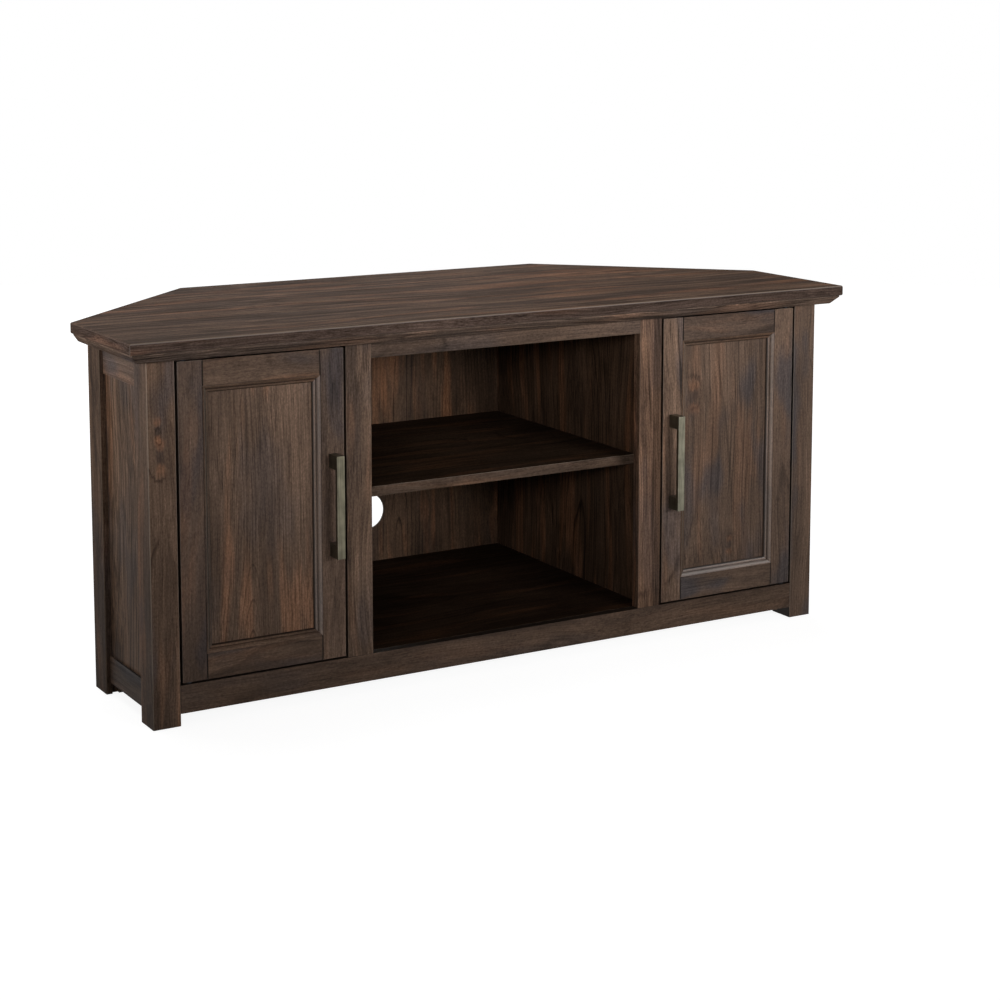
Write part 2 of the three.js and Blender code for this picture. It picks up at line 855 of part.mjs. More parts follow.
function cabinet() {
  const group = new THREE.Group();
  group.add(topBoard(), frontMoulding(), ...faceFrame(), bottomBoard(), centreShelf(), ...backPanels());
  for (const side of [-1, 1]) {
    group.add(endMoulding(side), leg("front", side), leg("rear", side), cornerPost(side));
    group.add(...sideRails(side), sidePanel(side), divider(side), sideShelf(side), doorCatch(side));
    group.add(hingePin(side, "lower"), hingePin(side, "upper"));
  }
  return group;
}

const cornerCabinet = new THREE.Group();
cornerCabinet.add(cabinet(), door(-1), door(1));

export default cornerCabinet;
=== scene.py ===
# %% [markdown]
# # A corner television cabinet in dark stained wood
#
# This notebook dresses a cabinet that has already been built in CAD. The CAD gives every
# board, hinge pin and handle its exact size and place. Blender adds what the eye judges:
# the walnut figure, the satin lacquer, the rubbed edges with their painted highlights, the
# moulded beads of the doors, the brass, and a plain studio to look at it in.
#
# Everything is in metres. X runs to the right along the front, Y from the doors to the
# back, and Z up. The object stands on the floor at Z = 0.

# %% Load the imported cabinet
import math
import random

import bpy
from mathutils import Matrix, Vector


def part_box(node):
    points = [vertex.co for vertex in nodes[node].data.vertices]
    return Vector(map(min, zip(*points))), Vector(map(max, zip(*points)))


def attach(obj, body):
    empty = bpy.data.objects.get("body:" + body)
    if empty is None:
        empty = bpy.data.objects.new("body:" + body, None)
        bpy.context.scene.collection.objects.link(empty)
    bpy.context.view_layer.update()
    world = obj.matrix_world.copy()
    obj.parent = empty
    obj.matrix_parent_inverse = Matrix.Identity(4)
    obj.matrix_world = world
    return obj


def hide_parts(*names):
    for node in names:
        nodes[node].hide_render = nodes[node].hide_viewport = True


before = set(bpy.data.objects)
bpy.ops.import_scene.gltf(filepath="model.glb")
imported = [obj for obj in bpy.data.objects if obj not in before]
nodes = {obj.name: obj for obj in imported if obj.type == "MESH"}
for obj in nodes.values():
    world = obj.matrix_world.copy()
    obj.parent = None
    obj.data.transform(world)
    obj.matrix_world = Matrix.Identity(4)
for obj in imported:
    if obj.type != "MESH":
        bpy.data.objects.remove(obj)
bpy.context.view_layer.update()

# %% [markdown]
# ## The camera
#
# The photographer stood to the left of the cabinet and a little above it, about three
# metres off. The picture was taken from the lower part of a larger frame, which keeps
# upright edges upright. A camera in Blender does that with its vertical shift. A large shift
# would push the cabinet out of other views, so a small one is used here, with a tilt.

# %% Place the camera
PHOTO_SIDE = 1000  # pixels along each side of the picture
LENS_IN_PIXELS = 2144.3
SENSOR = 36.0  # millimetres, as wide as the picture
LOOK_DOWN = 7.455  # degrees below the level
LOOK_RIGHT = 30.42  # degrees from the cabinet's own depth

camera_data = bpy.data.cameras.new("photograph")
camera_data.sensor_width = SENSOR
camera_data.lens = LENS_IN_PIXELS / PHOTO_SIDE * SENSOR
camera_data.shift_y = -0.21
camera = bpy.data.objects.new("photograph", camera_data)
bpy.context.scene.collection.objects.link(camera)
camera.location = (-1.5914, -2.9056, 0.979)
camera.rotation_euler = (math.radians(90 - LOOK_DOWN), 0, math.radians(-LOOK_RIGHT))
bpy.context.scene.camera = camera
bpy.context.scene.view_settings.view_transform = "Standard"
print("lens", round(camera_data.lens, 1), "mm")

# %% [markdown]
# ## A short way to write shader nodes
#
# Every finish below is a small network of nodes. A few helpers keep the networks readable:
# `add_node` makes one node and fills its sockets, `maths` and `vector_maths` do arithmetic,
# `axes_of` takes a vector apart, `spread` stretches one range of values over another, and
# `mix_colour` blends two colours by a mask.

# %% Node helpers
def add_node(tree, kind, sockets=None, **settings):
    made = tree.nodes.new(kind)
    for setting, value in settings.items():
        setattr(made, setting, value)
    for socket, value in (sockets or {}).items():
        if isinstance(value, bpy.types.NodeSocket):
            tree.links.new(value, made.inputs[socket])
        else:
            made.inputs[socket].default_value = value
    return made


def maths(tree, operation, first, second=0.0, third=0.0):
    sockets = {0: first, 1: second, 2: third}
    return add_node(tree, "ShaderNodeMath", sockets, operation=operation).outputs[0]


def vector_maths(tree, operation, first, second=(0, 0, 0), output="Vector"):
    sockets = {0: first, 1: second}
    return add_node(tree, "ShaderNodeVectorMath", sockets, operation=operation).outputs[output]


def axes_of(tree, vector):
    return add_node(tree, "ShaderNodeSeparateXYZ", {0: vector}).outputs


def spread(tree, value, low, high, to_low=0.0, to_high=1.0, soft=True):
    kind = "SMOOTHSTEP" if soft else "LINEAR"
    sockets = {"Value": value, "From Min": low, "From Max": high, "To Min": to_low, "To Max": to_high}
    return add_node(tree, "ShaderNodeMapRange", sockets, interpolation_type=kind).outputs["Result"]


def mix_colour(tree, share, first, second, way="MIX"):
    sockets = {0: share, 6: first, 7: second}
    return add_node(tree, "ShaderNodeMix", sockets, data_type="RGBA", blend_type=way).outputs[2]


print("node helpers ready")

# %% [markdown]
# `stretched` scales a place along the grain and across it, and `noise` reads a noise there.
# `object_place` is the place on the object itself, so a pattern moves with its piece.
# `new_group` starts a group with named inputs and outputs, and `place_group` puts one in a
# material, so that many materials share one network.

# %% Noise and group helpers
def stretched(tree, vector, along, across):
    return vector_maths(tree, "MULTIPLY", vector, (along, across, across))


def noise(tree, vector, detail=2.0, roughness=0.5, output="Fac"):
    sockets = {"Vector": vector, "Scale": 1.0, "Detail": detail, "Roughness": roughness}
    return add_node(tree, "ShaderNodeTexNoise", sockets).outputs[output]


def object_place(tree):
    return add_node(tree, "ShaderNodeTexCoord").outputs["Object"]


def new_group(name, inputs, outputs):
    group = bpy.data.node_groups.new(name, "ShaderNodeTree")
    for direction, sockets in (("INPUT", inputs), ("OUTPUT", outputs)):
        for socket, kind, *value in sockets:
            made = group.interface.new_socket(
                name=socket, in_out=direction, socket_type="NodeSocket" + kind
            )
            if value:
                made.default_value = value[0]
    return group, group.nodes.new("NodeGroupInput"), group.nodes.new("NodeGroupOutput")


def place_group(tree, group, sockets):
    return add_node(tree, "ShaderNodeGroup", sockets, node_tree=group)


print("noise and group helpers ready")

# %% [markdown]
# ## What walnut looks like
#
# A board shows three things at once. The growth rings cross its face as dark lines: long and
# nearly parallel near the edges, and in tall arches near the middle, because the saw runs
# almost along the rings there. The fibres and pores draw fine short marks along the grain. And
# the colour wanders: warm streaks, and cooler, darker ones where the stain took more.
#
# The group below works in the board's own space, where X runs along the grain. The rings are
# circles round a pith line that lies below the board and slopes slowly up to it. The distance
# from the pith, divided by the ring spacing, counts the rings. This is how the tree does it,
# so the arches come out by themselves. No tree grows straight, so a slow noise first moves
# the whole pattern sideways, and the fibres lean with it.

# %% The walnut group: coordinates and rings
walnut, walnut_in, walnut_out = new_group(
    "walnut figure",
    [
        ("Vector", "Vector"), ("Ring spacing", "Float", 0.011), ("Slope", "Float", 0.02),
        ("Wander", "Float", 0.06), ("Pull", "Float", 0.0), ("Lines", "Float", 0.5),
        ("Red", "Float", 0.5), ("Blue", "Float", 0.5), ("Tone", "Float", 1.0),
        ("Fibre", "Float", 1.0), ("Fineness", "Float", 1.0), ("Bands", "Float", 1.0),
        ("Halo", "Float", 0.0), ("Heart", "Float", 0.0),
    ],
    [("Color", "Color"), ("Height", "Float"), ("Roughness", "Float")],
)
asked = walnut_in.outputs
board_place = asked["Vector"]
drift = noise(walnut, stretched(walnut, board_place, 2.6, 5.0), detail=1.0, output="Color")
drift = vector_maths(walnut, "SUBTRACT", drift, (0.5, 0.5, 0.5))
drift = vector_maths(walnut, "MULTIPLY", drift, asked["Wander"])
wandered = vector_maths(walnut, "ADD", board_place, drift)
parts = axes_of(walnut, wandered)
rise = maths(walnut, "MULTIPLY_ADD", parts["X"], asked["Slope"], parts["Z"])
sideways_squared = maths(walnut, "MULTIPLY", parts["Y"], parts["Y"])
pith_distance = maths(walnut, "SQRT", maths(walnut, "MULTIPLY_ADD", rise, rise, sideways_squared))
ring_count = maths(walnut, "DIVIDE", pith_distance, asked["Ring spacing"])
ring_count = maths(walnut, "ADD", ring_count, asked["Pull"])
slow_wobble = noise(walnut, stretched(walnut, board_place, 3.0, 14.0), detail=1.0)
ring_count = maths(walnut, "MULTIPLY_ADD", slow_wobble, 1.4, ring_count)
quick_wobble = noise(walnut, stretched(walnut, board_place, 10.0, 200.0))
ring_count = maths(walnut, "MULTIPLY_ADD", quick_wobble, 0.16, ring_count)
season = maths(walnut, "FRACT", ring_count)
print("growth rings ready")

# %% [markdown]
# Each ring darkens towards the end of its season and then stops. The lines don't have the
# same strength all over a board: another, slower noise fades them in and out. The fibres are
# two very stretched noises, whose marks get closer with `Fineness`. The pores are short dark
# dashes, cut off from a third such noise by a threshold, and the flecks are a fine speckle.

# %% The walnut group: lines, fibres and pores
ring_end = spread(walnut, season, 0.93, 1.0, 1.0, 0.0)
late_wood = maths(walnut, "MULTIPLY", spread(walnut, season, 0.80, 0.93), ring_end)
presence = spread(walnut, noise(walnut, stretched(walnut, wandered, 3.0, 22.0)), 0.40, 0.60, 0.05, 1.0)
lines = maths(walnut, "MULTIPLY", maths(walnut, "MULTIPLY", late_wood, presence), asked["Lines"])
fineness = add_node(
    walnut, "ShaderNodeCombineXYZ", {"X": 1.0, "Y": asked["Fineness"], "Z": asked["Fineness"]}
).outputs[0]
fibre_place = vector_maths(walnut, "MULTIPLY", wandered, fineness)
coarse_fibre = noise(walnut, stretched(walnut, fibre_place, 3.0, 380.0))
fine_fibre = noise(walnut, stretched(walnut, fibre_place, 7.0, 900.0), detail=1.0, roughness=0.6)
pores = noise(walnut, stretched(walnut, fibre_place, 36.0, 700.0), detail=1.0)
pores = spread(walnut, pores, 0.60, 0.70)
fleck = noise(walnut, stretched(walnut, board_place, 260.0, 420.0), roughness=0.65)
print("fibres ready")

# %% [markdown]
# The colour starts as a blend of two browns in broad and narrow bands. Warm and cold streaks
# are laid over it, and the knots' halos.

# %% The walnut group: streaks of colour
HEARTWOOD = (0.0400, 0.0260, 0.0190, 1)
PALE_BROWN = (0.0950, 0.0600, 0.0410, 1)
WARM_STREAK = (0.1500, 0.0760, 0.0440, 1)
COLD_STREAK = (0.0350, 0.0295, 0.0300, 1)
KNOT_RED = (0.1700, 0.0780, 0.0420, 1)
KNOT_DARK = (0.0140, 0.0110, 0.0110, 1)
broad_band = noise(walnut, stretched(walnut, wandered, 2.0, 22.0), detail=1.0)
narrow_band = noise(walnut, stretched(walnut, wandered, 3.5, 75.0), detail=1.0)
band = maths(walnut, "MULTIPLY_ADD", broad_band, 0.55, maths(walnut, "MULTIPLY", narrow_band, 0.45))
band = maths(walnut, "SUBTRACT", spread(walnut, band, 0.30, 0.70), 0.5)
band = maths(walnut, "MULTIPLY_ADD", band, asked["Bands"], 0.5)
warmth = spread(walnut, noise(walnut, stretched(walnut, wandered, 4.0, 34.0)), 0.52, 0.70)
coldness = spread(walnut, noise(walnut, stretched(walnut, board_place, 6.0, 16.0)), 0.50, 0.66)
colour = mix_colour(walnut, band, HEARTWOOD, PALE_BROWN)
colour = mix_colour(walnut, maths(walnut, "MULTIPLY", warmth, asked["Red"]), colour, WARM_STREAK)
colour = mix_colour(walnut, maths(walnut, "MULTIPLY", coldness, asked["Blue"]), colour, COLD_STREAK)
colour = mix_colour(walnut, asked["Halo"], colour, KNOT_RED)
print("streaks ready")

# %% [markdown]
# What darkens the wood is multiplied into one shade: rings, fibres, flecks, blotches of stain
# and pores. The hearts of knots come last. The late wood stands a little lower than the rest,
# the pores lower still, and the lacquer is duller over the fibres.

# %% The walnut group: shade, height and roughness
blotch = noise(walnut, stretched(walnut, board_place, 8.0, 14.0), detail=3.0)
fibre = maths(walnut, "MULTIPLY_ADD", coarse_fibre, 1.8, -0.9)
fibre = maths(walnut, "ADD", fibre, maths(walnut, "MULTIPLY_ADD", fine_fibre, 2.0, -1.0))
fibre = maths(walnut, "MULTIPLY_ADD", fibre, asked["Fibre"], 1.0)
shade = maths(walnut, "SUBTRACT", 1.0, maths(walnut, "MULTIPLY", lines, 0.9))
for darkening in (
    maths(walnut, "MAXIMUM", fibre, 0.2),
    spread(walnut, fleck, 0.20, 0.80, 0.60, 1.40, soft=False),
    spread(walnut, blotch, 0.30, 0.70, 0.80, 1.20, soft=False),
    maths(walnut, "SUBTRACT", 1.0, maths(walnut, "MULTIPLY", pores, 0.3)),
    asked["Tone"],
):
    shade = maths(walnut, "MULTIPLY", shade, darkening)
shades = add_node(walnut, "ShaderNodeCombineColor", {0: shade, 1: shade, 2: shade}).outputs[0]
colour = mix_colour(walnut, 1.0, colour, shades, way="MULTIPLY")
colour = mix_colour(walnut, asked["Heart"], colour, KNOT_DARK)
relief = maths(walnut, "MULTIPLY_ADD", lines, -0.6, maths(walnut, "MULTIPLY", coarse_fibre, 0.9))
relief = maths(walnut, "MULTIPLY_ADD", pores, -0.5, relief)
dull_fibre = spread(walnut, coarse_fibre, 0.3, 0.7, 0.58, 0.46, soft=False)
walnut.links.new(colour, walnut_out.inputs["Color"])
walnut.links.new(relief, walnut_out.inputs["Height"])
walnut.links.new(dull_fibre, walnut_out.inputs["Roughness"])
print("walnut group has", len(walnut.nodes), "nodes")

# %% [markdown]
# ## Knots
#
# Where a branch grew, the rings part and flow round it. The knot group measures the distance
# from the branch, longer along the grain than across it. It gives three things: how far it
# pulls the ring count, a dark heart, and a warm halo, which shows above and below the heart
# but not beside it.

# %% The knot group
knot, knot_in, knot_out = new_group(
    "knot",
    [("Vector", "Vector"), ("Centre", "Vector"), ("Length", "Float", 0.03), ("Width", "Float", 0.012)],
    [("Pull", "Float"), ("Halo", "Float"), ("Heart", "Float")],
)
branch = knot_in.outputs
away = vector_maths(knot, "SUBTRACT", branch["Vector"], branch["Centre"])
knot_size = add_node(
    knot, "ShaderNodeCombineXYZ", {"X": branch["Length"], "Y": branch["Width"], "Z": 0.2}
).outputs[0]
away = vector_maths(knot, "DIVIDE", away, knot_size)
ragged = noise(knot, stretched(knot, branch["Vector"], 90.0, 210.0))
knot_distance = vector_maths(knot, "LENGTH", away, output="Value")
along_grain = maths(knot, "ABSOLUTE", axes_of(knot, away)["X"])
share_along = maths(knot, "DIVIDE", along_grain, maths(knot, "ADD", knot_distance, 0.01))
above_or_below = spread(knot, share_along, 0.55, 0.9)
knot_distance = maths(knot, "MULTIPLY_ADD", ragged, 0.9, maths(knot, "SUBTRACT", knot_distance, 0.45))
halo_outside = spread(knot, knot_distance, 1.0, 2.0, 0.34, 0.0)
halo = maths(knot, "MULTIPLY", spread(knot, knot_distance, 0.45, 0.8), halo_outside)
knot.links.new(spread(knot, knot_distance, 0.0, 3.2, 0.8, 0.0), knot_out.inputs["Pull"])
knot.links.new(maths(knot, "MULTIPLY", halo, above_or_below), knot_out.inputs["Halo"])
knot.links.new(spread(knot, knot_distance, 0.1, 1.1, 0.5, 0.0), knot_out.inputs["Heart"])
print("knot group ready")

# %% [markdown]
# ## Rubbed edges, with painted highlights
#
# Stain wears thin on the edges of furniture, and the sharp corners catch the light. The paler
# colour laid on the edges is partly this worn stain and partly a painted highlight. The
# bevels that are added further on turn the surface's normal away from the six straight
# directions, so the normal itself says where an edge is. Level edges and upright edges come
# out apart, because the boards across the rear corners are turned in plan all over.

# %% The edge group for wear and painted highlights
rubbed_and_lit, rubbed_and_lit_in, rubbed_and_lit_out = new_group(
    "rubbed edge", [("Normal", "Vector")], [("Level", "Float"), ("Upright", "Float")]
)
turned_away = axes_of(rubbed_and_lit, vector_maths(rubbed_and_lit, "ABSOLUTE", rubbed_and_lit_in.outputs["Normal"]))
for edge_kind, axis in (("Level", "Z"), ("Upright", "X")):
    turned = spread(rubbed_and_lit, turned_away[axis], 0.12, 0.4)
    not_square = spread(rubbed_and_lit, turned_away[axis], 0.88, 0.99, 1.0, 0.0)
    rubbed_and_lit.links.new(maths(rubbed_and_lit, "MULTIPLY", turned, not_square), rubbed_and_lit_out.inputs[edge_kind])
print("rubbed-edge group ready")

# %% [markdown]
# ## One finish for each board
#
# No two boards of a cabinet come from the same place in the tree, and the stain took to each
# of them in its own way. Every board starts from the plain values below, and the table of
# boards further on gives what differs.
#
# - The figure: its `tone`, the strength of the dark `lines`, of the warm (`red`) and cold
#   (`blue`) streaks, of the fibres and of the colour `bands`. A higher `fineness` sets the
#   fibres closer. Each of the `knots` has its place, along and across, and its two sizes.
# - The tree: `spacing` is the metres between rings, `slope` the lean of the pith, and
#   `wander` how far the pattern drifts. `pith` is how deep the pith lies below the face,
#   where a small depth gives wide arches, and `turn` is how far off the middle it lies. Where
#   `heart` is given, the pith lies that deep right under the board's middle, so that a tall
#   arch stands there. `level` holds other values for faces that look up.
# - What happened to the board, and the light painted on it: `wear_and_highlight` on its
#   edges, which is worn stain and painted highlight, `seam` in its joints, faces that are
#   darker or lighter, some of them by painted shade, a tint, and the lacquer's `gloss` and
#   `dullness`.

# %% The plain values of a board
PLAIN_BOARD = dict(
    tone=1.0, lines=0.5, red=0.5, blue=0.5, fibre=0.6, fineness=1.0, bands=0.8, knots=(),
    spacing=0.010, slope=0.020, wander=0.060, pith=0.05, turn=0.0, heart=None, level={},
    wear_and_highlight=0.30, seam=0.0, outline=None, joint_ends=None,
    front_face_tone=1.0, end=1.0, end_strips=False, painted_shade_facing=(0, 0, 0), strip=(1.0, 1.0), groove=None,
    tint=(1.0, 1.0, 1.0), front_tint=None, gloss=0.06, dullness=0.0,
)
# The paler edge colour below is partly worn stain and partly a painted highlight.
EDGE_WEAR_AND_HIGHLIGHT = (0.225, 0.185, 0.150, 1)
SEAM_DARK = (0.008, 0.006, 0.005, 1)
print(len(PLAIN_BOARD), "values describe a board")

# %% [markdown]
# The object's coordinates are put in the board's own order: along the grain, across the face,
# and into the board. Then the board is moved to its own place in the log. That place is drawn
# with seeded dice, so that every run cuts the same boards.

# %% The figure of one board
dice = random.Random(17)


def in_board_order(tree, middle, order):
    centred = axes_of(tree, vector_maths(tree, "SUBTRACT", object_place(tree), middle))
    letters = {axis: centred[letter] for axis, letter in zip("XYZ", order.upper())}
    return add_node(tree, "ShaderNodeCombineXYZ", letters).outputs[0]


def board_figure(tree, place, facing, look):
    start = dice.uniform(2, 9)
    pith = look["pith"] if look["heart"] is None else look["heart"] - look["slope"] * start
    values = {
        "Ring spacing": look["spacing"], "Slope": look["slope"], "Wander": look["wander"],
        "Lines": look["lines"], "Red": look["red"], "Blue": look["blue"], "Tone": look["tone"],
        "Fibre": look["fibre"], "Fineness": look["fineness"], "Bands": look["bands"],
        "Vector": vector_maths(tree, "ADD", place, (start, look["turn"], pith)),
    }
    figure = place_group(tree, walnut, values)
    for socket, value in look["level"].items():
        by_facing = spread(tree, facing["Z"], 0.5, 0.9, values[socket], value)
        tree.links.new(by_facing, figure.inputs[socket])
    return figure


def add_knots(tree, place, figure, knots):
    if not knots:
        return
    found = {"Pull": 0.0, "Halo": 0.0, "Heart": 0.0}
    for along, across, length, width in knots:
        sockets = {"Vector": place, "Centre": (along, across, 0), "Length": length, "Width": width}
        branch = place_group(tree, knot, sockets)
        found = {socket: maths(tree, "ADD", sum_so_far, branch.outputs[socket])
                 for socket, sum_so_far in found.items()}
    for socket, total in found.items():
        tree.links.new(total, figure.inputs[socket])


print("board figures ready")

# %% [markdown]
# Stain gathers in the joints of a door: in the arrises that lie within the door's outline,
# where stiles meet rails, and across the ends of the rails. Every other arris gets a paler
# colour, partly rubbed-thin stain and partly a painted highlight, most where it looks
# forwards, and hardly at all where it looks down or back.

# %% Dark joints, and rubbed edges with painted highlights
JOINT_INSET = 0.0015  # metres inside the door's outline, so that its outer edges are no joints
JOINT_FROM, JOINT_TO = 0.0019, 0.0011  # metres from the end of a rail
JOINT_STAIN = 0.85


def within(tree, outline):
    low, high = outline
    place = axes_of(tree, object_place(tree))
    inside = 1.0
    for axis, letter in ((0, "X"), (2, "Z")):
        middle, reach = (low[axis] + high[axis]) / 2, (high[axis] - low[axis]) / 2 - JOINT_INSET
        from_middle = maths(tree, "ABSOLUTE", maths(tree, "SUBTRACT", place[letter], middle))
        inside = maths(tree, "MULTIPLY", inside, maths(tree, "LESS_THAN", from_middle, reach))
    return inside


def worn_and_lit_edges(tree, colour, place, facing, normal, look):
    edges = place_group(tree, rubbed_and_lit, {"Normal": normal}).outputs
    edge = maths(tree, "MAXIMUM", edges["Level"], edges["Upright"])
    if look["joint_ends"] is not None:
        from_middle = maths(tree, "ABSOLUTE", axes_of(tree, place)["X"])
        half_rail = look["joint_ends"]
        at_end = spread(tree, from_middle, half_rail - JOINT_FROM, half_rail - JOINT_TO)
        colour = mix_colour(tree, maths(tree, "MULTIPLY", at_end, JOINT_STAIN), colour, SEAM_DARK)
    if look["outline"] is not None:
        joint = maths(tree, "MULTIPLY", edge, within(tree, look["outline"]))
        colour = mix_colour(tree, maths(tree, "MULTIPLY", joint, look["seam"]), colour, SEAM_DARK)
        edge = maths(tree, "SUBTRACT", edge, joint)
    # The paler edge colour, worn stain and painted highlight, is strongest on edges that look forwards
    # and weakest on those that look down or back.
    forwards = spread(tree, facing["Y"], -0.5, -0.2, 1.0, 0.2)
    forwards = maths(tree, "MULTIPLY", forwards, spread(tree, facing["Z"], -0.4, -0.1, 0.15, 1.0))
    rubbing_and_highlight = maths(tree, "MULTIPLY", maths(tree, "MULTIPLY", edge, look["wear_and_highlight"]), forwards)
    return mix_colour(tree, rubbing_and_highlight, colour, EDGE_WEAR_AND_HIGHLIGHT)


print("joints and rubbed edges ready")

# %% [markdown]
# Some faces are darker or lighter than the board they belong to. `front_face_tone` is the
# tone of its faces that look forwards, `end` the left end, and `painted_shade_facing` the
# direction of faces inside a gap or under a moulding, which get painted shade, nearly black.
# `strip` is a strip of other wood glued on: where it starts, and its tone.
# `groove` is the depth past which a bead gets painted shade. `tint` colours the
# whole board, and `front_tint` only its front and left edges.

# %% Darker and lighter faces, with painted shade
SHARP = 0.0006  # metres over which a strip or a groove changes the tone
# Tones of the painted shade in gaps, under mouldings and in a bead's groove
PAINTED_SHADE_TONE, PAINTED_GROOVE_SHADE = 0.2, 0.25


def shaded(tree, colour, place, facing, normal, look):
    in_board = axes_of(tree, place)
    towards = vector_maths(tree, "DOT_PRODUCT", normal, look["painted_shade_facing"], output="Value")
    strip_edge, strip_tone = look["strip"]
    # Faces inside a gap or under a moulding, and the deep part of a bead, get painted shade.
    shades = [
        spread(tree, facing["X"], -0.9, -0.6, look["end"], 1.0),
        spread(tree, towards, 0.7, 0.95, 1.0, PAINTED_SHADE_TONE),
        spread(tree, in_board["Y"], strip_edge - SHARP, strip_edge + SHARP, 1.0, strip_tone),
    ]
    if look["groove"] is not None:
        bottom = look["groove"]
        shades.append(spread(tree, in_board["Z"], bottom - SHARP, bottom, 1.0, PAINTED_GROOVE_SHADE))
    # Faces that look forwards take their own tone.
    tone = spread(tree, facing["Y"], -0.9, -0.6, look["front_face_tone"], 1.0)
    for shade in shades:
        tone = maths(tree, "MULTIPLY", tone, shade)
    colour = vector_maths(tree, "MULTIPLY", colour, tone)
    colour = vector_maths(tree, "MULTIPLY", colour, look["tint"])
    if look["front_tint"] is not None:
        rim = maths(tree, "MINIMUM", facing["Y"], facing["X"])
        on_rim = spread(tree, rim, -0.9, -0.6, 1.0, 0.0)
        rim_colour = vector_maths(tree, "MULTIPLY", colour, look["front_tint"])
        colour = mix_colour(tree, on_rim, colour, rim_colour)
    return colour


print("shading of faces ready")

# %% [markdown]
# A finish now puts these together. The gloss is set right on the Principled BSDF, and the
# relief of the grain is a faint bump. With `end_strips`, faces that look to the left or right
# carry grain that runs the other way, as where a strip of wood closes off a board's end.

# %% A maker of board finishes
def new_finish(name):
    finish = bpy.data.materials.new(name)
    finish.use_nodes = True
    return finish, finish.node_tree, finish.node_tree.nodes["Principled BSDF"].inputs


def add_bump(tree, surface, height, strength, distance):
    sockets = {"Height": height, "Strength": strength, "Distance": distance}
    tree.links.new(add_node(tree, "ShaderNodeBump", sockets).outputs[0], surface["Normal"])


def board_finish(name, middle, order, **differences):
    look = PLAIN_BOARD | differences
    finish, tree, surface = new_finish(name)
    normal = add_node(tree, "ShaderNodeTexCoord").outputs["Normal"]
    facing = axes_of(tree, normal)
    place = in_board_order(tree, middle, order)
    if look["end_strips"]:
        turned = in_board_order(tree, middle, order[1] + order[0] + order[2])
        at_end = spread(tree, maths(tree, "ABSOLUTE", facing["X"]), 0.80, 0.95)
        place = mix_colour(tree, at_end, place, turned)
    figure = board_figure(tree, place, facing, look)
    add_knots(tree, place, figure, look["knots"])
    colour = worn_and_lit_edges(tree, figure.outputs["Color"], place, facing, normal, look)
    colour = shaded(tree, colour, place, facing, normal, look)
    tree.links.new(colour, surface["Base Color"])
    roughness = maths(tree, "ADD", figure.outputs["Roughness"], look["dullness"])
    tree.links.new(roughness, surface["Roughness"])
    surface["Specular IOR Level"].default_value = look["gloss"]
    add_bump(tree, surface, figure.outputs["Height"], 0.25, 0.0004)
    return finish


print("board finish maker ready")

# %% [markdown]
# ## Which way each board runs
#
# Grain runs the long way of a board: up the legs, stiles, panels and dividers, and along the
# rails, the shelves and the top. In the table below, `zxy` reads: grain up (z), across the
# face to the right (x), and into the board to the back (y). The tones follow the real boards,
# which were never quite matched to each other. Boards that are made as a pair share a look.
#
# First come the top, the mouldings, the legs and the two ends. The top's upper face has wider
# fibres than its edges, and its ends are closed off with strips. The corner posts stand at the
# back, where nothing rubs them.

# %% The top, the legs and the ends
# The moulding's ends carry a high tone, which is painted light; their faces that look down get painted
# shade.
MOULDING_END_PAINTED_LIGHT = dict(
    tone=2.3, red=0.0, blue=0.6, fibre=0.9, fineness=0.7, bands=1.0, pith=0.09, painted_shade_facing=(0, 0, -1),
    tint=(0.96, 1.02, 1.09), gloss=0.0, dullness=0.2,
)
LEG_REAR = dict(tone=1.05, red=0.4, fibre=0.9, pith=0.06, tint=(1.0, 0.95, 0.9), gloss=0.015)
CORNER_POST = dict(tone=0.75, red=0.6, blue=0.2, wear_and_highlight=0.0, tint=(1.0, 0.92, 0.84), gloss=0.0)
SIDE_RAIL_TOP = dict(tone=1.26, red=0.35, blue=0.7, tint=(1.0, 1.02, 1.05), gloss=0.04)
SIDE_RAIL_BOTTOM = dict(tone=0.78, red=0.3, blue=0.8, gloss=0.03)
SIDE_PANEL = dict(
    tone=1.33, lines=0.6, red=0.4, fibre=1.4, fineness=0.7, pith=0.04, tint=(1.0, 0.95, 0.88), gloss=0.03,
)
